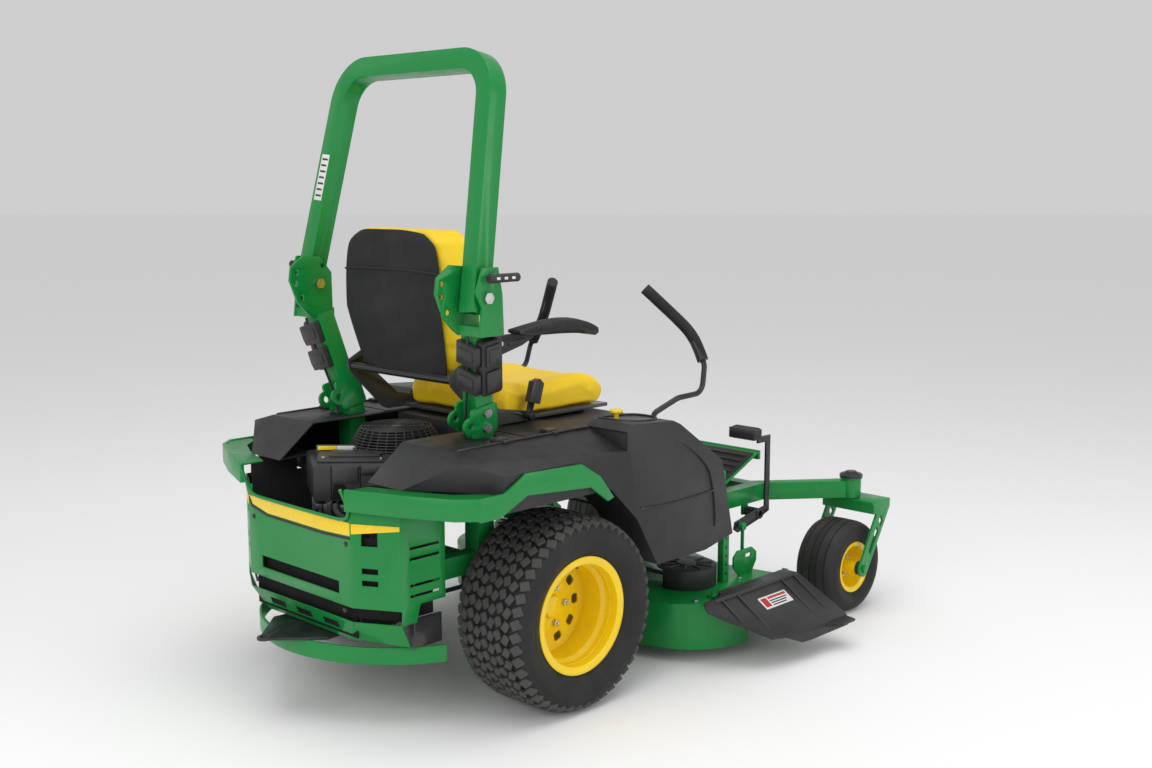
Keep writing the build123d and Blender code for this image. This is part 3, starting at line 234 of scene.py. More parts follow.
def pebble_group():
    """Small round pebbles as on moulded plastic and vinyl, as a height."""
    tree, entry, leave = group_with("pebble_grain", [("Scale", FLOAT, 900.0), ("Coarse", FLOAT, 0.3)],
                                    [("Height", FLOAT)])
    cells = tree.nodes.new("ShaderNodeTexVoronoi")
    cells.feature = "SMOOTH_F1"
    tree.links.new(object_place(tree), cells.inputs["Vector"])
    tree.links.new(entry.outputs["Scale"], cells.inputs["Scale"])
    wave_scale = math_node(tree, "MULTIPLY", entry.outputs["Scale"], 0.33)
    waves = math_node(tree, "MULTIPLY", noise_node(tree, wave_scale, 2.0), entry.outputs["Coarse"])
    total = math_node(tree, "ADD", cells.outputs["Distance"], waves)
    tree.links.new(total, leave.inputs["Height"])
    return tree


def weave_group():
    """Two crossing sets of threads, as a height."""
    tree, entry, leave = group_with("plain_weave", [("Scale", FLOAT, 500.0)], [("Height", FLOAT)])
    threads = []
    for direction in ("Y", "Z"):
        wave = tree.nodes.new("ShaderNodeTexWave")
        wave.bands_direction = direction
        wave.inputs["Distortion"].default_value = 0.6
        wave.inputs["Detail"].default_value = 1.0
        tree.links.new(object_place(tree), wave.inputs["Vector"])
        tree.links.new(entry.outputs["Scale"], wave.inputs["Scale"])
        threads.append(wave.outputs["Fac"])
    tree.links.new(math_node(tree, "MAXIMUM", *threads), leave.inputs["Height"])
    return tree


UNEVEN_TONE = uneven_tone_group()
PEBBLES = pebble_group()
WEAVE = weave_group()


# ---- finishes
GRAIN_HEIGHT = 0.0005
ROUGHNESS_SPREAD = 0.08
DUST_ROUGHNESS = 0.4


def finish(name, color, roughness, metallic=0.0, coat=0.0, spread=0.06, dust=0.05, edge=0.2, scale=6.0,
           grain=None):
    """A material. A grain is given as its group, its scale and its depth."""
    material = bpy.data.materials.new(name)
    material.use_nodes = True
    tree = material.node_tree
    shader = tree.nodes["Principled BSDF"]
    shader.inputs["Metallic"].default_value = metallic
    shader.inputs["Specular IOR Level"].default_value = 0.32
    if coat:
        shader.inputs["Coat Weight"].default_value = coat
        shader.inputs["Coat Roughness"].default_value = 0.08
    tone = tree.nodes.new("ShaderNodeGroup")
    tone.node_tree = UNEVEN_TONE
    for socket, value in (("Color", (*color, 1)), ("Scale", scale), ("Spread", spread), ("Dust", dust),
                          ("Edge", edge)):
        tone.inputs[socket].default_value = value
    tree.links.new(tone.outputs["Color"], shader.inputs["Base Color"])
    smears = span_node(tree, noise_node(tree, 17.0, 5.0), 0.3, 0.7,
                       roughness - ROUGHNESS_SPREAD, roughness + ROUGHNESS_SPREAD)
    dusty = math_node(tree, "MULTIPLY", tone.outputs["Mask"], DUST_ROUGHNESS)
    tree.links.new(math_node(tree, "ADD", smears, dusty, clamp=True), shader.inputs["Roughness"])
    if grain:
        add_grain(tree, shader, *grain)
    return material


def add_grain(tree, shader, group, scale, depth):
    texture = tree.nodes.new("ShaderNodeGroup")
    texture.node_tree = group
    texture.inputs["Scale"].default_value = scale
    bump = tree.nodes.new("ShaderNodeBump")
    bump.inputs["Strength"].default_value = depth
    bump.inputs["Distance"].default_value = GRAIN_HEIGHT
    tree.links.new(texture.outputs["Height"], bump.inputs["Height"])
    tree.links.new(bump.outputs["Normal"], shader.inputs["Normal"])


def plain_white():
    material = bpy.data.materials.new("floor_white")
    material.use_nodes = True
    shader = material.node_tree.nodes["Principled BSDF"]
    shader.inputs["Base Color"].default_value = (0.96, 0.96, 0.96, 1)
    shader.inputs["Roughness"].default_value = 0.9
    return material


GREEN = finish("green_enamel", (0.0008, 0.225, 0.040), 0.34, coat=0.15, spread=0.04,
               dust=0.02, grain=(PEBBLES, 260.0, 0.03))
YELLOW = finish("yellow_enamel", (0.90, 0.62, 0.004), 0.30, coat=0.4, spread=0.04,
                grain=(PEBBLES, 300.0, 0.04))
BLACK_ENAMEL = finish("black_enamel", (0.012, 0.012, 0.013), 0.34, coat=0.3, spread=0.15,
                      edge=0.5)
MOULDED_BLACK = finish("moulded_black", (0.015, 0.015, 0.017), 0.44, spread=0.12, edge=0.5,
                       grain=(PEBBLES, 1100.0, 0.35))
SMOOTH_BLACK = finish("smooth_black_plastic", (0.016, 0.016, 0.017), 0.36, spread=0.10,
                      dust=0.04, edge=0.4)
COWL_BLACK = finish("engine_cowl_black", (0.014, 0.014, 0.015), 0.42, spread=0.14,
                    dust=0.08, edge=0.5, grain=(PEBBLES, 800.0, 0.2))
ENGINE_GREY = finish("cast_engine_alloy", (0.11, 0.11, 0.115), 0.5, metallic=0.7, spread=0.2,
                     dust=0.1, grain=(PEBBLES, 450.0, 0.4))
DARK_CAST = finish("dark_cast_housing", (0.02, 0.02, 0.022), 0.5, metallic=0.3, spread=0.2,
                   dust=0.1, grain=(PEBBLES, 500.0, 0.4))
ZINC = finish("zinc_plated_steel", (0.62, 0.62, 0.60), 0.30, metallic=1.0, spread=0.12, dust=0.03,
              scale=40.0)
STEEL = finish("bare_steel", (0.38, 0.38, 0.38), 0.34, metallic=1.0, spread=0.18, dust=0.06,
               scale=25.0)
TYRE_RUBBER = finish("tyre_rubber", (0.013, 0.013, 0.013), 0.60, spread=0.22, dust=0.09, edge=0.5,
                     scale=9.0, grain=(PEBBLES, 600.0, 0.3))
SOFT_RUBBER = finish("soft_black_rubber", (0.020, 0.020, 0.021), 0.66, spread=0.12, dust=0.10,
                     edge=0.4, grain=(PEBBLES, 700.0, 0.3))
GRIP_FOAM = finish("grip_foam", (0.016, 0.016, 0.017), 0.80, spread=0.10, dust=0.03,
                   grain=(PEBBLES, 900.0, 0.5))
VINYL = finish("yellow_vinyl", (0.92, 0.62, 0.012), 0.42, dust=0.03, edge=0.1, scale=4.0,
               grain=(PEBBLES, 520.0, 0.28))
BLACK_CLOTH = finish("black_seat_cloth", (0.022, 0.022, 0.024), 0.85, spread=0.15, dust=0.02,
                     grain=(WEAVE, 420.0, 0.5))
YELLOW_PLASTIC = finish("yellow_plastic", (0.90, 0.62, 0.01), 0.35, spread=0.04, dust=0.03)
LABEL_WHITE = finish("label_white", (0.72, 0.72, 0.70), 0.45, spread=0.04, dust=0.08)
LABEL_RED = finish("label_red", (0.45, 0.02, 0.015), 0.45, spread=0.04)
LABEL_DARK = finish("label_dark", (0.02, 0.02, 0.02), 0.45, spread=0.04)
RED_BUTTON = finish("red_button", (0.55, 0.02, 0.02), 0.35, spread=0.04, dust=0.02)
# Near black: the colour of dark seams, and painted shade where plates stand for the shade in openings:
# behind the guard's slots, under the fan guard and in the cowl's intake.
JOINT_DARK_AND_PAINTED_SHADE = finish("joint_dark_and_painted_shade", (0.004, 0.004, 0.004), 0.85, spread=0.1, dust=0.0,
                     edge=0.0)
LENS = finish("lamp_lens", (0.55, 0.57, 0.60), 0.12, coat=0.6, spread=0.05, dust=0.02,
              grain=(PEBBLES, 240.0, 0.6))


# ---- modelling helpers
def clear_selection():
    if bpy.context.object and bpy.context.object.mode != "OBJECT":
        bpy.ops.object.mode_set(mode="OBJECT")
    bpy.ops.object.select_all(action="DESELECT")


def pick(*objects):
    clear_selection()
    for item in objects:
        item.select_set(True)
    bpy.context.view_layer.objects.active = objects[0]


def edit_all(piece):
    """Opens a piece for editing with all of it selected."""
    pick(piece)
    bpy.ops.object.mode_set(mode="EDIT")
    bpy.ops.mesh.select_all(action="SELECT")


def close_edit():
    bpy.ops.object.mode_set(mode="OBJECT")


def made(name):
    """The object that was just added, under its own name."""
    piece = bpy.context.object
    piece.name = name
    return piece


def settle(piece):
    """Puts a piece's place into its mesh, so that its object sits at the origin."""
    pick(piece)
    bpy.ops.object.transform_apply(location=True, rotation=True, scale=True)


def smooth(piece, angle=35):
    pick(piece)
    bpy.ops.object.shade_smooth_by_angle(angle=radians(angle))


def outward(piece):
    edit_all(piece)
    bpy.ops.mesh.remove_doubles(threshold=SEAM_MERGE)
    bpy.ops.mesh.normals_make_consistent(inside=False)
    close_edit()


def round_edges(piece, width, segments=2, angle=32):
    pick(piece)
    bevel = piece.modifiers.new("rounded", "BEVEL")
    bevel.width = width * MM
    bevel.segments = segments
    bevel.limit_method = "ANGLE"
    bevel.angle_limit = radians(angle)
    bpy.ops.object.modifier_apply(modifier=bevel.name)


def join(name, parts):
    pick(*parts)
    if len(parts) > 1:
        bpy.ops.object.join()
    return made(name)


def give(piece, body, material, *replaced, slot=None):
    """A finished piece gets its material and its body, and hides the CAD nodes that it stands for; slot is
    not used.
    """
    piece.data.materials.clear()
    piece.data.materials.append(material)
    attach(piece, body)
    if replaced:
        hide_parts(*replaced)
    return piece


def slab(name, centre, size, rounding=2.0, turn=(0, 0, 0)):
    """A box with rounded edges, its centre and size in millimetres."""
    clear_selection()
    bpy.ops.mesh.primitive_cube_add(size=1, location=at(*centre), rotation=turn)
    piece = made(name)
    piece.scale = (size[0] * MM, size[1] * MM, size[2] * MM)
    settle(piece)
    if rounding:
        round_edges(piece, rounding, 3)
        smooth(piece)
    return piece


def rod(name, start, end, radius, sides=20, rounding=0.0):
    """A round bar between two places in millimetres."""
    first = at(*start)
    last = at(*end)
    run = last - first
    clear_selection()
    bpy.ops.mesh.primitive_cylinder_add(vertices=sides, radius=radius * MM, depth=run.length,
                                        location=(first + last) / 2,
                                        rotation=run.to_track_quat("Z", "Y").to_euler())
    piece = made(name)
    settle(piece)
    if rounding:
        round_edges(piece, rounding, 2, 50)
    smooth(piece)
    return piece


def ring(name, centre, major, minor, turn=(0, 0, 0), steps=64):
    clear_selection()
    bpy.ops.mesh.primitive_torus_add(location=at(*centre), rotation=turn, major_radius=major * MM,
                                     minor_radius=minor * MM, major_segments=steps, minor_segments=8)
    piece = made(name)
    settle(piece)
    smooth(piece, 60)
    return piece


def loop_at(name, places, fill="NOTHING"):
    """A ring of edges, or a flat face, whose corners are moved to the given places."""
    clear_selection()
    bpy.ops.mesh.primitive_circle_add(vertices=len(places), radius=0.1, fill_type=fill, location=(0, 0, 0))
    piece = made(name)
    for vertex, place in zip(piece.data.vertices, places):
        vertex.co = place
    return piece


def turned(name, profile, centre, axis, steps=96):
    """A solid of revolution: profile corners are (along the axis, out from it) in millimetres."""
    origin = at(*centre)
    along_axis = Vector(axis)
    out = Vector((0, 0, 1)) if abs(along_axis.z) < 0.5 else Vector((1, 0, 0))
    corners = [origin + along_axis * (run * MM) + out * (radius * MM) for run, radius in profile]
    piece = loop_at(name, corners)
    edit_all(piece)
    bpy.ops.mesh.spin(steps=steps, angle=2 * pi, center=origin, axis=along_axis)
    bpy.ops.mesh.select_all(action="SELECT")
    bpy.ops.mesh.remove_doubles(threshold=SEAM_MERGE)
    bpy.ops.mesh.dissolve_degenerate(threshold=SEAM_MERGE)
    close_edit()
    outward(piece)
    smooth(piece, 40)
    return piece


def copies(piece, count, turn_axis, centre):
    """Copies of a piece set round an axis, joined with it."""
    middle = at(*centre)
    group = [piece]
    for index in range(1, count):
        turn = Matrix.Rotation(2 * pi * index / count, 4, Vector(turn_axis))
        copy = piece.copy()
        copy.data = piece.data.copy()
        link(copy)
        copy.data.transform(Matrix.Translation(middle) @ turn @ Matrix.Translation(-middle))
        group.append(copy)
    return join(piece.name, group)


def tube(name, places, radius, sides=12):
    """A bent bar that follows places in millimetres with eased corners."""
    data = bpy.data.curves.new(name, "CURVE")
    data.dimensions = "3D"
    data.bevel_depth = radius * MM
    data.bevel_resolution = sides // 4
    data.resolution_u = 10
    data.use_fill_caps = True
    spline = data.splines.new("NURBS")
    spline.points.add(len(places) - 1)
    for point, place in zip(spline.points, places):
        point.co = (*at(*place), 1)
    spline.order_u = 3
    spline.use_endpoint_u = True
    curve = bpy.data.objects.new(name, data)
    link(curve)
    pick(curve)
    bpy.ops.object.convert(target="MESH")
    piece = bpy.context.object
    smooth(piece, 50)
    return piece


def plate(name, outline, thickness, place, rounding=0.8):
    """A flat plate: place turns an outline point and a height into a place in millimetres."""
    piece = loop_at(name, [at(*place(u, v, 0)) for u, v in outline], "NGON")
    lift = at(*place(0, 0, thickness)) - at(*place(0, 0, 0))
    edit_all(piece)
    bpy.ops.mesh.extrude_region_move(TRANSFORM_OT_translate={"value": lift})
    close_edit()
    outward(piece)
    if rounding:
        round_edges(piece, rounding, 2)
    smooth(piece)
    return piece


def panel(name, outline, thickness, place, rounding, material, body="chassis"):
    """A plate that gets its finish as soon as it is made."""
    return give(plate(name, outline, thickness, place, rounding), body, material)


def rectangle(left, low, right, high):
    return [(left, low), (right, low), (right, high), (left, high)]


def softened(node, width, material):
    """A copy of a CAD node with its sharp edges rounded, which stands for that node."""
    mesh = frame["nodes"][node].data.copy()
    piece = bpy.data.objects.new(node + "_shape", mesh)
    link(piece)
    mesh.materials.clear()
    edit_all(piece)
    bpy.ops.mesh.remove_doubles(threshold=SEAM_MERGE)
    bpy.ops.mesh.dissolve_limited(angle_limit=radians(0.6))
    close_edit()
    round_edges(piece, width)
    smooth(piece, 40)
    return give(piece, NODE_BODY[node], material, node)


def dress(node, material):
    """A CAD node whose shape is right gets its finish."""
    for place in frame["nodes"][node].material_slots:
        place.material = material


# ---- CAD nodes by finish
# the width in millimetres of the rounding that each node's edges get
ROUNDED_NODES = (
    (GREEN, {"main_frame": 2.5, "front_frame": 2.5, "bumper": 2.0, "fenders": 2.0, "rear_guard": 1.2,
             "rops_hoop": 7.0, "rops_posts": 1.6, "deck_shell": 1.8, "deck_hangers": 0.8, "floor_pan": 1.0,
             "caster_fork_left": 1.6, "caster_fork_right": 1.6}),
    (BLACK_ENAMEL, {"hitch_brackets": 1.4, "lift_pedal": 2.0, "seat_frame": 1.4}),
    (MOULDED_BLACK, {"side_covers": 1.6, "seat_base": 2.0, "chute": 1.6, "belt_covers": 2.0}),
    (COWL_BLACK, {"engine_cowls": 1.8}),
    (SMOOTH_BLACK, {"battery": 2.0, "height_knob": 2.5, "lamps": 4.0, "belt_buckle": 2.5}),
    (SOFT_RUBBER, {"floor_mat": 1.5}),
    (DARK_CAST, {"transaxles": 3.0}),
    (ENGINE_GREY, {"engine_block": 1.4}),
    (YELLOW_PLASTIC, {"pto_knob": 2.5, "fuel_cap": 2.0}),
)
DRESSED_NODES = (
    (STEEL, ("muffler", "spindle_left", "spindle_centre", "spindle_right", "blade_left", "blade_centre",
             "blade_right")),
    (DARK_CAST, ("crankshaft",)),
    (SMOOTH_BLACK, ("fuel_tank",)),
    (ZINC, ("frame_bolts", "rops_pin_left", "rops_pin_right")),
    (SOFT_RUBBER, ("lamp_cables", "deck_belt")),
    (BLACK_ENAMEL, ("lap_pivot_left", "lap_pivot_right", "lap_bar_left", "lap_bar_right")),
)


# ---- wheels
TREAD_ROWS = (-112, -84, -56, -28, 0, 28, 56, 84, 112)
TREAD_PITCH = 38
TREAD_RADIUS = 287.2
CROWN_FLAT = 60
CROWN_FALL = 0.0042
TREAD_LUG = (27, 22, 11)
SHOULDER_LUG = (27, 27, 15)
SHOULDER_FROM = 100
LUG_LEAN = 0.5
NUT_CIRCLE = 57
CASTER_NUT_CIRCLE = 44


def crown(across):
    """The tread's radius at a distance from the middle of the tyre."""
    beyond = max(0.0, abs(across) - CROWN_FLAT)
    return TREAD_RADIUS - CROWN_FALL * beyond * beyond


def make_lug(across, radius, size, step, tilt, lean):
    """One rounded rubber block, set on the tread round a wheel at the origin."""
    clear_selection()
    bpy.ops.mesh.primitive_cube_add(size=1, location=(0, 0, 0))
    lug = bpy.context.object
    lug.scale = (size[0] * MM, size[1] * MM, size[2] * MM)
    settle(lug)
    round_edges(lug, 1.8, 1)
    seat = Matrix.Translation((0, across * MM, (radius - size[2] / 2) * MM))
    lug.data.transform(Matrix.Rotation(step / radius, 4, "Y") @ seat
                       @ Matrix.Rotation(-tilt, 4, "X") @ Matrix.Rotation(lean, 4, "Z"))
    return lug


def tread_row(name, centre):
    """One row of turf lugs across the tyre, slanted in turn and stepped lower towards the shoulders."""
    lugs = []
    for index, across in enumerate(TREAD_ROWS):
        step = 0 if index % 2 else TREAD_PITCH / 4
        lean = -LUG_LEAN if index % 2 else LUG_LEAN
        size = SHOULDER_LUG if abs(across) > SHOULDER_FROM else TREAD_LUG
        slope = 2 * CROWN_FALL * max(0.0, abs(across) - CROWN_FLAT)
        lug = make_lug(across, crown(across), size, step, slope if across > 0 else -slope, lean)
        lug.data.transform(Matrix.Translation(at(*centre)))
        lugs.append(lug)
    return join(name, lugs)


def rear_wheel_centre(hand):
    return (0, hand * REAR_WHEEL_Y, REAR_WHEEL_Z)


def caster_centre(hand):
    return (CASTER_X, hand * CASTER_Y, CASTER_Z)


def tyre_outline(wall, seat_half):
    """A tyre's whole outline from one wall, which runs from the bead to the middle of the tread."""
    other_wall = [(-run, radius) for run, radius in reversed(wall[:-1])]
    bead_radius = wall[0][1]
    return wall + other_wall + [(seat_half, bead_radius), (-seat_half, bead_radius)]


def make_rear_tyre(side_name, hand):
    centre = rear_wheel_centre(hand)
    wall = [(-104, 156), (-105, 170), (-108, 177), (-114, 181), (-118, 190), (-124, 200), (-126.5, 204),
            (-126.5, 207), (-129, 212), (-132, 222), (-132.5, 232), (-131, 243), (-129, 246), (-129, 249),
            (-126, 256), (-120, 264), (-104, 270), (-60, 277), (0, 278)]
    carcass = turned(f"rear_tyre_body_{side_name}", tyre_outline(wall, 95), centre, (0, 1, 0))
    row_count = int(2 * pi * REAR_WHEEL_Z / TREAD_PITCH)
    tread = copies(tread_row(f"tread_{side_name}", centre), row_count, (0, 1, 0), centre)
    smooth(tread, 30)
    tyre = join(f"rear_tyre_{side_name}_turf", [carcass, tread])
    give(tyre, f"rear_wheel_{side_name}", TYRE_RUBBER, f"rear_tyre_{side_name}")


def plate_nuts(rim, hand):
    """The faces of the rim's lug nuts become zinc."""
    rim.data.materials.append(ZINC)
    centre = at(*rear_wheel_centre(hand))
    disc_face = hand * 461 * MM + MIDDLE_Y
    for face in rim.data.polygons:
        away = face.center - centre
        spoke = (away.x ** 2 + away.z ** 2) ** 0.5
        if 0.044 < spoke < 0.070 and (face.center.y - disc_face) * hand > 0.0005:
            face.material_index = 1


def make_rear_rim(side_name, hand):
    """The CAD rim with rounded edges, zinc lug nuts and a valve."""
    body = f"rear_wheel_{side_name}"
    plate_nuts(softened(f"rear_rim_{side_name}", 1.5, YELLOW), hand)
    studs = []
    for index in range(5):
        angle = 2 * pi * index / 5
        x = NUT_CIRCLE * cos(angle)
        z = REAR_WHEEL_Z + NUT_CIRCLE * sin(angle)
        studs.append(rod(f"stud_{side_name}", (x, hand * 472, z), (x, hand * 479, z), 5.5, 12, 1.0))
    step = ring(f"rim_step_{side_name}", (0, hand * 588, REAR_WHEEL_Z), 161, 2.4, (pi / 2, 0, 0), 96)
    bead = ring(f"rim_bead_{side_name}", (0, hand * 560, REAR_WHEEL_Z), 150.5, 2.0, (pi / 2, 0, 0), 96)
    give(join(f"wheel_studs_{side_name}", studs), body, ZINC)
    give(join(f"rim_lines_{side_name}", [step, bead]), body, YELLOW)
    valve_foot = (0, hand * 545, REAR_WHEEL_Z + 144)
    valve_tip = (0, hand * 572, REAR_WHEEL_Z + 138)
    give(rod(f"valve_{side_name}", valve_foot, valve_tip, 4, 12, 1.0), body, SOFT_RUBBER)


def make_caster_tyre(side_name, hand):
    """A smooth tyre with four shallow grooves round its tread."""
    wall = [(-62, 78), (-66, 90), (-72, 97), (-78, 104), (-81, 114), (-82, 126), (-80, 138), (-77, 142),
            (-76.5, 145), (-72, 152), (-62, 158), (-48, 162), (-46, 160), (-43, 160), (-41, 163),
            (-16, 163.8), (-14, 161), (-11, 161), (-9, 163.8), (0, 164)]
    tyre = turned(f"caster_tyre_{side_name}_smooth", tyre_outline(wall, 55), caster_centre(hand), (0, 1, 0))
    give(tyre, f"caster_wheel_{side_name}", TYRE_RUBBER, f"caster_tyre_{side_name}")


def make_caster_rim(side_name, hand):
    """The CAD rim with rounded edges, nuts on both faces and bearing seals."""
    body = f"caster_wheel_{side_name}"
    softened(f"caster_rim_{side_name}", 1.2, YELLOW)
    nuts = []
    seals = []
    for face in (-1, 1):
        for index in range(4):
            angle = 2 * pi * index / 4 + 0.6
            x = CASTER_X + CASTER_NUT_CIRCLE * cos(angle)
            y = hand * CASTER_Y + face * 10
            z = CASTER_Z + CASTER_NUT_CIRCLE * sin(angle)
            nuts.append(rod(f"caster_nut_{side_name}", (x, y, z), (x, y + face * 10, z), 7, 6, 1.0))
        seals.append(turned(f"seal_{side_name}", [(85, 12), (85, 25), (95, 24), (96.5, 20), (96.5, 12)],
                            caster_centre(hand), (0, face, 0), 48))
    give(join(f"caster_nuts_{side_name}", nuts), body, ZINC)
    give(join(f"bearing_seals_{side_name}", seals), body, DARK_CAST, slot="rubber")


def make_kingpin_cap(side_name, hand):
    profile = [(0, 0), (0, 38), (5, 41), (14, 41), (18, 36), (20, 24), (26, 18), (27, 0)]
    cap = turned(f"kingpin_cap_{side_name}", profile, (1415, hand * CASTER_Y, 466.5), (0, 0, 1), 48)
    give(cap, f"fork_{side_name}", SMOOTH_BLACK)


# ---- seat
CLOTH_FRAMES = 20
X_AXIS, Y_AXIS, Z_AXIS = range(3)
BACK_WAIST = 0.55
BACK_CLOTH_LOW = 948
BACK_CLOTH_HEIGHT = 436
BACK_CLOTH_WIDTH = 0.955
BACK_CLOTH_SEAM = 0.735


def blown_up(pad, pressure):
    """Where the pad's points come to rest when it is blown up as cloth."""
    cloth = pad.modifiers.new("filling", "CLOTH")
    cloth.settings.use_pressure = True
    cloth.settings.uniform_pressure_force = pressure
    cloth.settings.effector_weights.gravity = 0
    cloth.settings.quality = 5
    scene = bpy.context.scene
    for step in range(1, CLOTH_FRAMES + 1):
        scene.frame_set(step)
    evaluated = pad.evaluated_get(bpy.context.evaluated_depsgraph_get())
    places = [vertex.co.copy() for vertex in evaluated.data.vertices]
    pad.modifiers.remove(cloth)
    scene.frame_set(1)
    return places


def swell(pad, voxel, cap, pressure=4.0):
    """Fills a pad: its skin is remeshed, blown up as cloth, and held to a greatest bulge."""
    pick(pad)
    remesh = pad.modifiers.new("skin", "REMESH")
    remesh.mode = "VOXEL"
    remesh.voxel_size = voxel * MM
    bpy.ops.object.modifier_apply(modifier=remesh.name)
    start = [vertex.co.copy() for vertex in pad.data.vertices]
    for vertex, rest, moved in zip(pad.data.vertices, start, blown_up(pad, pressure)):
        bulge = moved - rest
        if bulge.length > cap * MM:
            bulge = bulge.normalized() * (cap * MM)
        vertex.co = rest + bulge
    pick(pad)
    relax = pad.modifiers.new("relax", "SMOOTH")
    relax.factor = 0.6
    relax.iterations = 6
    bpy.ops.object.modifier_apply(modifier=relax.name)


def press_line(pad, axis, line, depth, width, pressed):
    """Sews a seam across an axis: pressed points near the line sink along their normals."""
    for vertex in pad.data.vertices:
        away = abs(vertex.co[axis] - line) / (width * MM)
        if away < 1 and pressed(vertex.co):
            vertex.co -= vertex.normal * (depth * MM) * (1 - away * away) ** 2


def finish_pad(pad):
    pick(pad)
    fine = pad.modifiers.new("fine", "SUBSURF")
    fine.levels = 1
    fine.render_levels = 1
    bpy.ops.object.modifier_apply(modifier=fine.name)
    bpy.ops.object.shade_smooth()


def pad_from(name, stations):
    """A closed pad: a face at the first ring of places, extruded from ring to ring, in millimetres."""
    reached = [at(*place) for place in stations[0]]
    pad = loop_at(name, reached, "NGON")
    for station in stations[1:]:
        bpy.ops.object.mode_set(mode="EDIT")
        if reached[0] == pad.data.vertices[0].co:
            bpy.ops.mesh.select_all(action="SELECT")
        bpy.ops.mesh.extrude_region_move()
        bpy.ops.object.mode_set(mode="OBJECT")
        following = [at(*place) for place in station]
        for vertex in pad.data.vertices:
            if vertex.select:
                nearest = min(range(len(reached)), key=lambda index: (reached[index] - vertex.co).length)
                vertex.co = following[nearest]
        reached = following
    outward(pad)
    return pad


def cushion_ring(across):
    """The cushion's outline seen from the side, at a share of its half width."""
    y = across * 226
    side_roll = (max(0.0, abs(across) - 0.82) / 0.18) ** 2
    bolster = 20 * max(0.0, min(1.0, (abs(across) - 0.35) / 0.4)) - 26 * side_roll
    inset = 16 * side_roll
    return [(28 + inset, y, 824), (250, y, 818), (455, y, 820), (490 - inset, y, 830), (500 - inset, y, 852),
            (496 - inset, y, 872 + bolster * 0.3), (470 - inset, y, 888 + bolster * 0.4),
            (400, y, 890 + bolster * 0.7), (260, y, 878 + bolster), (120, y, 882 + bolster),
            (40 + inset, y, 902 + bolster * 0.4), (24 + inset, y, 872)]


def make_seat_cushion():
    """A saddle-shaped cushion: low between two thigh bolsters, rolled down over its front edge."""
    cushion = pad_from("seat_cushion_pad", [cushion_ring(column / 8) for column in range(-8, 9)])
    swell(cushion, 6.0, 9.0)

    def on_top(place):
        return place.z > 0.862

    for across in (-118, 118):
        press_line(cushion, Y_AXIS, at(0, across, 0).y, 4.0, 9.0, on_top)
    press_line(cushion, X_AXIS, at(415, 0, 0).x, 3.0, 8.0, on_top)
    finish_pad(cushion)
    give(cushion, "seat", VINYL, "seat_cushion")


def seat_back_half(share):
    """Half width of the seat back, by share of its height."""
    if share < BACK_WAIST:
        return 200 + 30 * sin(share / BACK_WAIST * pi / 2)
    return 230 - 34 * ((share - BACK_WAIST) / (1 - BACK_WAIST)) ** 3


def back_ring(share, narrowing):
    """The back's outline seen from above, at a share of its height: its rear face, then its front face."""
    half = seat_back_half(share)
    z = 936 + share * 456
    rear_x = -150 - 52 * min(1.0, share * 2.2)
    front_x = 70 - 130 * share
    reach = 45 * sin(min(1.0, share * 1.5) * pi) if share < 0.67 else 0
    places = []
    for step in range(9):
        across = -1 + step / 4
        places.append((rear_x + 14 * abs(across) ** 3, across * half * 0.94 * narrowing, z))
    for step in range(9):
        across = 1 - step / 4
        wing = max(0.0, (abs(across) - 0.45) / 0.55)
        places.append((front_x - 26 + (reach + 10) * wing, across * half * narrowing, z))
    return places


def make_seat_back():
    """A high back with side bolsters that come forward at the rider's waist."""
    rows = range(13)
    stations = [back_ring(row / 12, 0.86 if row in (rows[0], rows[-1]) else 1.0) for row in rows]
    back = pad_from("seat_back_pad", stations)
    swell(back, 7.0, 9.0)
    front_x = at(-110, 0, 0).x

    def in_front(place):
        return place.x > front_x

    for across in (-120, 120):
        press_line(back, Y_AXIS, at(0, across, 0).y, 4.0, 9.0, in_front)
    press_line(back, Z_AXIS, 1.262, 3.5, 8.0, in_front)
    finish_pad(back)
    give(back, "seat", VINYL, "seat_back")


def cloth_place(across, share):
    """A place on the back's cloth: across from -1 to 1, and a share of its height."""
    half = seat_back_half(share) * BACK_CLOTH_WIDTH
    corner = 0.20 * max(0.0, (share - 0.90) / 0.10) ** 2.5 + 0.03 * max(0.0, (0.1 - share) / 0.1)
    drop = 16 * across ** 4 * max(0.0, share - 0.5) * 2
    crease = 3.5 * max(0.0, 1 - abs(share - BACK_CLOTH_SEAM) * 90)
    sag = (5 * sin(share * pi) + 2.0 * sin(share * 31 + across * 5)) * (1 - across ** 2)
    x = -167 - 50 * min(1.0, share * 2.2) - sag + 17 * abs(across) ** 3 + crease
    return at(x, across * half * (1 - corner), BACK_CLOTH_LOW + share * BACK_CLOTH_HEIGHT - drop)


def make_back_panel():
    """Black cloth over the rear of the seat back, sewn across below the head roll."""
    clear_selection()
    bpy.ops.mesh.primitive_grid_add(x_subdivisions=28, y_subdivisions=40, size=1, location=(0, 0, 0))
    cloth = bpy.context.object
    cloth.name = "seat_back_cloth"
    for vertex in cloth.data.vertices:
        vertex.co = cloth_place(vertex.co.x * 2, vertex.co.y + 0.5)
    solid = cloth.modifiers.new("thickness", "SOLIDIFY")
    solid.thickness = 0.006
    solid.offset = -1.0
    pick(cloth)
    bpy.ops.object.modifier_apply(modifier=solid.name)
    outward(cloth)
    round_edges(cloth, 1.5, 2, 50)
    smooth(cloth, 50)
    give(cloth, "seat", BLACK_CLOTH)
    half = seat_back_half(BACK_CLOTH_SEAM) * BACK_CLOTH_WIDTH
    seam_z = BACK_CLOTH_LOW + BACK_CLOTH_SEAM * BACK_CLOTH_HEIGHT
    places = []
    for step in range(-6, 7):
        across = step / 6
        places.append((-227 + 17 * abs(across) ** 3, across * half * 0.99, seam_z - 8 * across ** 4))
    give(tube("seat_back_piping", places, 3.2), "seat", BLACK_CLOTH)


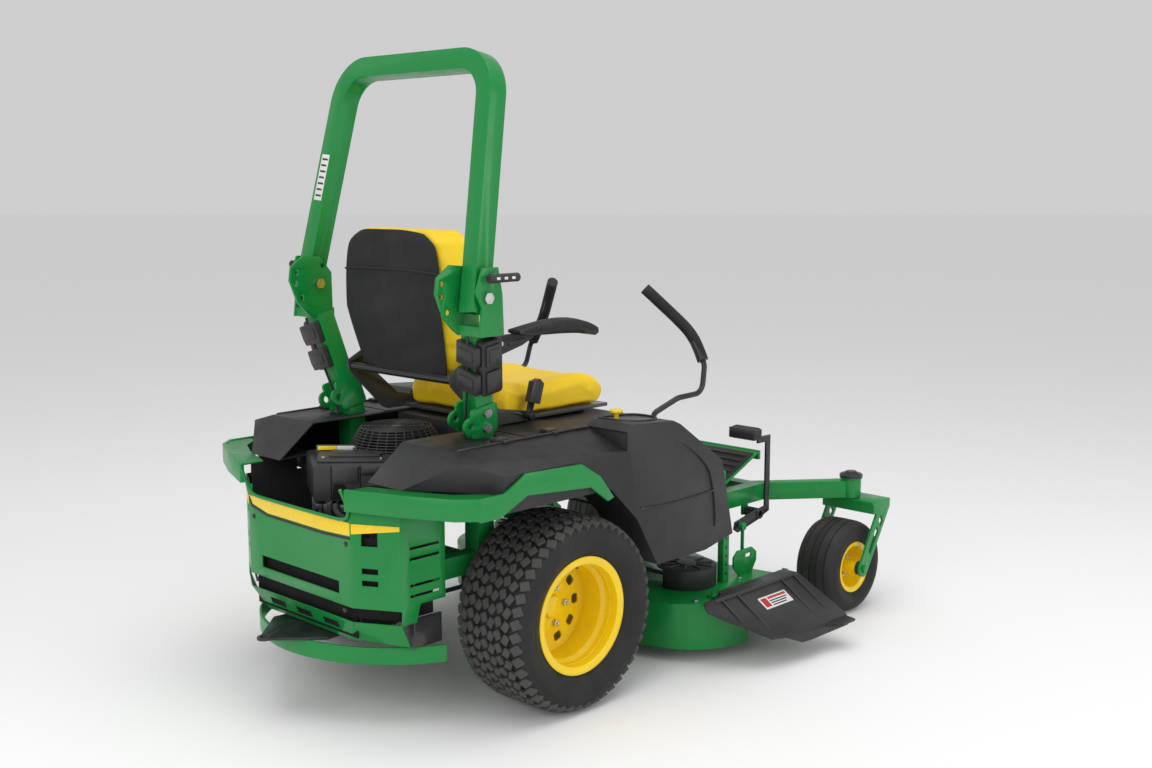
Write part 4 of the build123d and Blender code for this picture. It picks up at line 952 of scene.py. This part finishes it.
def armrest_ring(share, y):
    """The pad's outline across, at a share of its length from the pivot."""
    x = 24 + share * 348
    top = 1092 + 20 * sin(pi * share ** 1.2) - 18 * share ** 5
    low = 1067 - 18 * share ** 4 + 8 * (1 - share) ** 6
    half = 31 * (1 - 0.1 * (2 * share - 1) ** 8)
    middle = (top + low) / 2
    return [(x, y - half, middle), (x, y - half * 0.85, top - 5), (x, y, top), (x, y + half * 0.85, top - 5),
            (x, y + half, middle), (x, y + half * 0.85, low + 2), (x, y, low), (x, y - half * 0.85, low + 2)]


def make_armrest_pad(side_name, hand):
    """A long foam pad, thickest behind its middle and drooping to a rounded tip."""
    pad = pad_from(f"armrest_pad_{side_name}", [armrest_ring(step / 12, hand * 281) for step in range(13)])
    swell(pad, 4.0, 3.0)
    finish_pad(pad)
    give(pad, f"arm_{side_name}", SOFT_RUBBER)


def make_armrest(side_name, hand):
    body = f"arm_{side_name}"
    softened(f"armrest_{side_name}", 1.5, MOULDED_BLACK)
    make_armrest_pad(side_name, hand)
    bolt = rod(f"armrest_bolt_{side_name}", (-30, hand * 284, 1052), (-30, hand * 291, 1052), 9, 6, 1.0)
    give(bolt, body, ZINC)
    rib = slab(f"armrest_rib_{side_name}", (35, hand * 285.5, 1052), (64, 3, 12), 1.2, (0, radians(-8), 0))
    give(rib, body, SMOOTH_BLACK)


def make_buckle_button():
    button = slab("buckle_button", (146, -258, 920), (20, 14, 14), 2.0, (0, radians(20), 0))
    give(button, "buckle", RED_BUTTON)


# ---- engine
CRANK_X = -197
AIR_BOX_TOP = 716
COWL_RUN = Vector((164, -160)).normalized()


def make_fan_guard():
    """Wire rings on a cone, closed by a flat coil of rings on spokes."""
    upright = (0, 0, 1)
    centre = (CRANK_X, 0, 0)
    parts = []
    for step in range(10):
        share = step / 9
        radius = 146 - 40 * share ** 1.25
        parts.append(ring("guard_ring", (CRANK_X, 0, 725 + 69 * share), radius, 1.9, steps=56))
    for step in range(9):
        parts.append(ring("guard_coil", (CRANK_X, 0, 795.5), 24 + step * 10, 1.6, steps=48))
    wire = rod("guard_wire", (CRANK_X + 145, 0, 724), (CRANK_X + 106, 0, 794), 1.8, 8)
    parts.append(copies(wire, 28, upright, centre))
    spoke = rod("guard_spoke", (CRANK_X + 16, 0, 794), (CRANK_X + 107, 0, 794), 2.0, 8)
    parts.append(copies(spoke, 8, upright, centre))
    hub_profile = [(0, 0), (0, 20), (4, 22), (9, 20), (11, 0)]
    parts.append(turned("guard_hub", hub_profile, (CRANK_X, 0, 786), upright, 40))
    give(join("fan_guard_wires", parts), "chassis", SMOOTH_BLACK, "fan_guard")
    band_profile = [(0, 140), (0, 150), (5, 151), (9, 149), (9, 140)]
    give(turned("guard_band", band_profile, (CRANK_X, 0, 718), upright, 64), "chassis", COWL_BLACK)
    # A near-black disc under the coil: the screen below the guard, painted darker as the shade inside the
    # guard.
    screen_shade_profile = [(0, 0), (0, 96), (1.5, 96), (1.5, 0)]
    give(turned("guard_screen_shade", screen_shade_profile, (CRANK_X, 0, 776), upright, 48), "chassis", JOINT_DARK_AND_PAINTED_SHADE)


def level(height_there):
    """Places for a plate that lies flat at a height."""
    def place(u, v, height):
        return (u, v, height_there + height)
    return place


def on_cowl(start_x, start_y):
    """Places for a plate on the cowl's slanted rear face, which runs off to the right from a start on it."""
    def place(u, v, height):
        return (start_x + COWL_RUN.x * u + COWL_RUN.y * height,
                start_y + COWL_RUN.y * u - COWL_RUN.x * height, v)
    return place


def make_air_box():
    """The air box lid and its ridge, with four screws."""
    lid = [(-478, 12), (-338, -132), (-262, -78), (-268, 20), (-378, 150)]
    panel("air_box_lid", lid, 16, level(AIR_BOX_TOP), 7.0, COWL_BLACK)
    ridge = [(-440, 6), (-336, -98), (-292, -66), (-380, 70)]
    panel("air_box_ridge", ridge, 8, level(AIR_BOX_TOP + 15), 3.5, COWL_BLACK)
    screws = []
    for x, y in ((-455, 12), (-345, -118), (-372, 132), (-290, -70)):
        screws.append(rod("cowl_screw", (x, y, AIR_BOX_TOP + 13), (x, y, AIR_BOX_TOP + 20), 6, 6, 1.0))
    give(join("cowl_screws", screws), "chassis", ZINC)


def make_engine_hoses():
    breather = [(-455, -40, 600), (-470, -60, 580), (-440, -95, 560), (-400, -120, 566), (-372, -118, 590),
                (-350, -100, 612)]
    give(tube("breather_hose", breather, 9), "chassis", SOFT_RUBBER)
    oil_filter = rod("oil_filter", (-330, -205, 520), (-330, -205, 590), 36, 32, 4.0)
    give(oil_filter, "chassis", COWL_BLACK, slot="black_paint")
    lead = [(-300, -160, 600), (-330, -190, 640), (-352, -196, 610), (-356, -205, 560)]
    give(tube("plug_lead", lead, 4), "chassis", SOFT_RUBBER)


def make_cowl_ledge():
    """A narrow ledge over the rear face, with a plain two-colour strip."""
    place = on_cowl(-402, 112)
    panel("cowl_ledge", rectangle(-5, 718, 118, 750), 7, place, 2.0, COWL_BLACK)
    panel("cowl_label_yellow", rectangle(0, 735, 56, 747), 8, place, 0.2, YELLOW_PLASTIC)
    panel("cowl_label_white", rectangle(57, 735, 113, 747), 8, place, 0.2, LABEL_WHITE)


def make_cowl_face():
    """The intake as a near-black plate of painted shade, and the seams, shroud, lip and ribs of the cowl's
    slanted rear face.
    """
    place = on_cowl(-495, 5)
    intake = [(52, 616), (92, 616), (92, 652), (84, 660), (56, 660)]
    panel("cowl_intake_shade", intake, 1.5, place, 0.3, JOINT_DARK_AND_PAINTED_SHADE)
    seams = [plate("cowl_seam", rectangle(u, 614, u + 2.5, 716), 1.2, place, 0) for u in (48, 132)]
    seams.append(plate("cowl_seam", rectangle(134, 687, 222, 690), 1.2, place, 0))
    give(join("cowl_seams", seams), "chassis", JOINT_DARK_AND_PAINTED_SHADE)
    shroud = plate("cowl_shroud", rectangle(52, 664, 128, 712), 9, place, 4.0)
    lip = plate("cowl_lip", rectangle(138, 694, 220, 714), 7, place, 3.0)
    ribs = [plate("cowl_rib", rectangle(146, z, 214, z + 4), 3, place, 1.0) for z in (628, 642, 656)]
    give(join("cowl_mouldings", [shroud, lip, *ribs]), "chassis", COWL_BLACK)


def make_inlet_castings():
    castings = []
    for x, y, size in ((-452, -8, (34, 30, 30)), (-424, -44, (30, 34, 24)), (-392, -78, (36, 26, 32)),
                       (-455, 36, (26, 40, 20))):
        castings.append(slab("inlet_casting", (x, y, 588), size, 5.0, (0, 0, radians(-44))))
    for x, y in ((-462, -24), (-408, -66), (-376, -100)):
        castings.append(rod("inlet_pipe", (x, y, 560), (x - 6, y - 6, 610), 8, 20, 2.0))
    give(join("inlet_castings", castings), "chassis", ENGINE_GREY)


def make_bay_shield(side_name, hand):
    """A dark plate inside the engine bay, stepped to stay behind the guard."""
    outline = [(-505, 500), (-285, 500), (-285, 636), (-336, 636), (-336, 694), (-500, 694)]

    def place(u, v, height):
        return (u, hand * (320 + height), v)

    panel(f"bay_shield_{side_name}", outline, 4, place, 1.0, MOULDED_BLACK)


# ---- body panels
GUARD_REAR = -557
GUARD_CORNER_Y = 251
GUARD_SIDE_RUN = Vector((71, 125)).normalized()


def on_guard_rear(u, v, height):
    return (GUARD_REAR - height, u, v)


def make_guard_band():
    """The yellow band across the rear guard and its dark lower edge."""
    band = [(-246, 602), (246, 602), (228, 578), (150, 562), (-120, 560), (-246, 566)]
    panel("guard_band_rear", band, 2.0, on_guard_rear, 0.5, YELLOW)
    edge = [(-246, 562), (-120, 556), (152, 558), (232, 575), (248, 598), (249, 592), (236, 568), (155, 551),
            (-120, 549), (-246, 555)]
    panel("guard_band_edge", edge, 1.4, on_guard_rear, 0.3, LABEL_DARK)


def make_guard_side(side_name, hand):
    """The band's end on the guard's slanted side, and a near-black sheet of painted shade behind the
    louvres.
    """
    run = GUARD_SIDE_RUN

    def on_side(u, v, height):
        return (GUARD_REAR + run.x * u - run.y * height,
                hand * (GUARD_CORNER_Y + run.y * u + run.x * height), v)

    def inside(u, v, height):
        return on_side(u, v, height - 14)

    strip = [(0, 601), (142, 601), (142, 588), (0, 572)]
    panel(f"guard_band_{side_name}", strip, 2.0, on_side, 0.5, YELLOW)
    panel(f"guard_painted_shade_{side_name}", rectangle(8, 330, 136, 560), -3.0, inside, 0.3, JOINT_DARK_AND_PAINTED_SHADE)


def make_guard_trim():
    """The near-black sheet of painted shade behind the rear slots, the guard's bolts and the rolled rim of
    its opening.
    """
    give(slab("guard_painted_shade_rear", (-536, 0, 345), (4, 490, 150), 0.5), "chassis", JOINT_DARK_AND_PAINTED_SHADE)
    bolts = []
    for hand in (1, -1):
        for y, z in ((226, 540), (216, 350)):
            bolts.append(rod("guard_bolt", (-553, hand * y, z), (-561, hand * y, z), 7, 20, 2.0))
    give(join("guard_bolts", bolts), "chassis", BLACK_ENAMEL)
    left_rim = [(-586, 245, 700), (-574, 250, 668), (-563, 250, 640), (-560, 236, 606), (-560, 120, 604)]
    right_rim = [(x, -y, z) for x, y, z in reversed(left_rim)]
    give(tube("guard_rim", left_rim + right_rim, 5), "chassis", GREEN)


def make_cover_ribs(side_name, hand):
    """Raised creases along the side cover and its front pod."""
    crease = [(-330, 432, 795), (-120, 432, 797), (120, 434, 797), (185, 436, 797)]
    pod_crease = [(430, 588, 742), (520, 592, 690), (600, 592, 600), (610, 592, 440)]
    pod_line = [(250, 591, 560), (380, 592, 545), (600, 592, 560)]
    ribs = []
    for places, radius in ((crease, 3.5), (pod_crease, 3.5), (pod_line, 3.0)):
        ribs.append(tube("cover_rib_line", [(x, hand * y, z) for x, y, z in places], radius))
    give(join(f"cover_ribs_{side_name}", ribs), "chassis", MOULDED_BLACK)


def make_cover_latches(side_name, hand):
    latches = []
    for x in (-153, 47):
        latches.append(slab(f"latch_{side_name}", (x, hand * 408, 799), (44, 34, 14), 3.0))
        latches.append(slab(f"latch_tongue_{side_name}", (x, hand * 430, 797), (22, 24, 9), 2.0))
    give(join(f"cover_latches_{side_name}", latches), "chassis", SMOOTH_BLACK)
    seam = slab(f"hatch_seam_{side_name}", (-50, hand * 330, 795.5), (3, 215, 1.6), 0.3)
    give(seam, "chassis", JOINT_DARK_AND_PAINTED_SHADE)


def make_console_step(side_name, hand):
    """A thin sheet that closes the step between the cover's top and its pod."""
    def place(u, v, height):
        return (191 + height, hand * u, v)

    outline = [(420, 796), (430, 798), (588, 799), (588, 741), (430, 794)]
    panel(f"console_step_{side_name}", outline, 3, place, 0.4, MOULDED_BLACK)


def make_console():
    """The right console's sunk floor and rim, and the collar under the fuel cap."""
    def on_console(u, v, height):
        return (u, v, 816 - 12 * (u - 215) / 185 + height)

    floor = [(232, -440), (232, -545), (395, -545), (395, -440)]
    panel("console_well", floor, 3, on_console, 0.8, SMOOTH_BLACK)
    rim = [(228, -436, 820), (228, -552, 818), (400, -552, 808), (402, -436, 810), (300, -434, 816),
           (228, -436, 820)]
    give(tube("console_rim", rim, 3.5), "chassis", MOULDED_BLACK)
    collar = [(0, 27.5), (0, 33), (5, 34), (10, 31), (10, 27.5)]
    give(turned("filler_collar", collar, (470, -500, 764), (0, 0, 1), 40), "chassis", SMOOTH_BLACK)


def make_pin_handle(side_name, hand):
    """The lock pin's round handle with three pale marks."""
    body = f"pin_{side_name}"
    y = hand * 466
    handle = rod(f"pin_handle_{side_name}", (-238, y, 1262), (-128, y, 1262), 12.5, 24, 3.0)
    give(handle, body, SMOOTH_BLACK)
    marks = [slab(f"pin_mark_{side_name}", (x, hand * 478.3, 1262), (12, 1.6, 7), 0.3)
             for x in (-212, -184, -156)]
    give(join(f"pin_marks_{side_name}", marks), body, LABEL_WHITE)


def make_roll_bar_label():
    """A plain plate with dark lines on the rear of the hoop's left leg."""
    run = (ROLL_BAR_CORNER - ROLL_BAR_PIVOT).normalized()
    middle = ROLL_BAR_PIVOT + run * 330
    rear = Vector((-1, 0, 0)) + run * run.x
    rear.normalize()
    across = run.cross(rear)

    def on_leg(u, v, height):
        return tuple(middle + run * u + across * v + rear * (30.2 + height))

    panel("roll_bar_label", rectangle(-72, -19, 72, 19), 0.8, on_leg, 0.2, LABEL_WHITE, "hoop")
    lines = []
    for step in range(7):
        u = -60 + step * 19
        outline = [(u, -14), (u + 6, -14), (u + 6, 14 - 4 * (step % 2)), (u, 14)]
        lines.append(plate("label_line", outline, 1.1, on_leg, 0))
    give(join("roll_bar_label_lines", lines), "hoop", LABEL_DARK)


def make_lamp(side_name, hand):
    """The two shells, the rear housings and the lens of a lamp on the roll bar's lower post."""
    side = Vector((1, hand, 1))
    low = POST_FOOT * side
    high = ROLL_BAR_PIVOT * side
    up = (high - low).normalized()
    forward = (Vector((1, 0, 0)) - up * up.x).normalized()
    out = forward.cross(up) if hand < 0 else up.cross(forward)
    middle = low + (high - low) * 0.54

    def outside(u, v, height):
        return tuple(middle + forward * (u + 6) + up * v + out * (62 + height))

    def behind(u, v, height):
        return tuple(middle + out * u + up * v - forward * (33 + height))

    def in_front(u, v, height):
        return tuple(middle + forward * (43 + height) + up * u + out * (32 + v))

    shells = [plate(f"lamp_upper_{side_name}", rectangle(-26, 8, 26, 70), 7, outside, 3.0),
              plate(f"lamp_lower_{side_name}", rectangle(-26, -70, 26, -8), 7, outside, 3.0),
              plate(f"lamp_front_{side_name}", rectangle(-18, 18, 18, 60), 11, outside, 3.0)]
    give(join(f"lamp_shells_{side_name}", shells), "chassis", SMOOTH_BLACK)
    housings = []
    for bottom, top in ((-76, -6), (6, 76)):
        outline = [(-30, bottom), (52, bottom), (58, bottom + 22), (58, top - 6), (-26, top)]
        housings.append(plate(f"lamp_rear_{side_name}", outline, 20, behind, 4.0))
        frame_outline = rectangle(-16, bottom + 18, 44, bottom + 52)
        housings.append(plate(f"lamp_rim_{side_name}", frame_outline, 24, behind, 3.0))
    give(join(f"lamp_housings_{side_name}", housings), "chassis", SMOOTH_BLACK)
    lens = [(-60, 6), (-60, 24), (60, 24), (60, 6)]
    panel(f"lamp_lens_{side_name}", lens, 3, in_front, 1.0, LENS)


# ---- controls and deck
def make_grip(side_name, hand):
    """The foam grip along the upper bends of a lap bar."""
    bends = [(769, 402, 938), (771, 388, 965), (771, 352, 1022), (745, 306, 1075), (688, 217, 1170)]
    grip = tube(f"lap_grip_{side_name}", [(x, hand * y, z) for x, y, z in bends], 19, 24)
    give(grip, f"lap_{side_name}", GRIP_FOAM)


def make_pedal_pad():
    pad = slab("pedal_pad", (1030, -386, 659), (46, 116, 40), 12.0, (0, radians(-12), 0))
    give(pad, "pedal", SOFT_RUBBER)


def on_chute(u, v, height):
    """A place on the deflector's slope: forward, then down it from its hinge."""
    slope = atan2(111, 170)
    return (u, -628 - v * cos(slope), 212 - v * sin(slope) + height)


def make_chute_ribs():
    ribs = []
    for x, end in ((585, 108), (665, 168), (905, 168), (975, 168)):
        ribs.append(plate("chute_rib", rectangle(x, 12, x + 9, end), 8, on_chute, 2.5))
    ribs.append(plate("chute_brow", rectangle(560, 4, 1004, 12), 8, on_chute, 3.0))
    give(join("chute_ribs", ribs), "deflector", MOULDED_BLACK)


def make_chute_label():
    """A generic warning plate: a red block and bar, and three dark lines without words."""
    panel("chute_label", rectangle(735, 48, 880, 96), 3.5, on_chute, 0.4, LABEL_WHITE, "deflector")
    marks = [plate("chute_mark", rectangle(742, 54, 770, 90), 4.2, on_chute, 0.2),
             plate("chute_bar", rectangle(778, 54, 872, 62), 4.2, on_chute, 0.2)]
    give(join("chute_marks", marks), "deflector", LABEL_RED)
    lines = []
    for row in range(3):
        down = 68 + 9 * row
        lines.append(plate("chute_line", rectangle(778, down, 866 - 8 * row, down + 4), 4.2, on_chute, 0.2))
    give(join("chute_lines", lines), "deflector", LABEL_DARK)


def make_deck_bolts():
    """Carriage bolts on the deck's top: some alone, the others in pairs across it."""
    places = [(500, -330), (470, 330), (560, -555)]
    for x, y in ((620, 120), (860, 500), (980, 120), (960, 420)):
        places.extend([(x, y), (x, -y)])
    bolts = [rod("deck_bolt", (x, y, 194), (x, y, 201), 9, 24, 2.0) for x, y in places]
    give(join("deck_bolts", bolts), "deck", ZINC)


def make_belt_cover_ribs(side_name, hand):
    """Ribs and a hub on the belt cover, round the outer spindle."""
    spindle = (700, hand * 400, 0)
    rib = slab("cover_rib", (762, hand * 400, 263), (52, 5, 6), 1.5)
    ribs = copies(rib, 10, (0, 0, 1), spindle)
    hub = turned("cover_hub", [(0, 0), (0, 34), (8, 32), (10, 0)], (700, hand * 400, 260), (0, 0, 1), 40)
    give(join(f"belt_cover_ribs_{side_name}", [ribs, hub]), "deck", MOULDED_BLACK)


def make_mat_buttons():
    """Hold-down buttons on the floor mat."""
    buttons = [rod("mat_button", (x, y, 470), (x, y, 473), 11, 24, 1.2)
               for x in (540, 720, 900) for y in (-300, 0, 300)]
    give(join("mat_buttons", buttons), "chassis", SMOOTH_BLACK)


# ---- build everything
clear_selection()
place_camera()
light_the_studio()
lay_floor()

for cad_finish, rounding_widths in ROUNDED_NODES:
    for cad_name, edge_width in rounding_widths.items():
        softened(cad_name, edge_width, cad_finish)
for cad_finish, cad_names in DRESSED_NODES:
    for cad_name in cad_names:
        dress(cad_name, cad_finish)

for make_pair in (make_rear_tyre, make_rear_rim, make_caster_tyre, make_caster_rim, make_kingpin_cap,
                  make_armrest, make_bay_shield, make_guard_side, make_cover_ribs, make_cover_latches,
                  make_console_step, make_pin_handle, make_lamp, make_grip, make_belt_cover_ribs):
    for side, side_sign in SIDES:
        make_pair(side, side_sign)
for make_single in (make_seat_cushion, make_seat_back, make_back_panel, make_buckle_button, make_fan_guard,
                    make_air_box, make_engine_hoses, make_cowl_ledge, make_cowl_face, make_inlet_castings,
                    make_guard_band, make_guard_trim, make_console, make_roll_bar_label, make_pedal_pad,
                    make_chute_ribs, make_chute_label, make_deck_bolts, make_mat_buttons):
    make_single()

clear_selection()
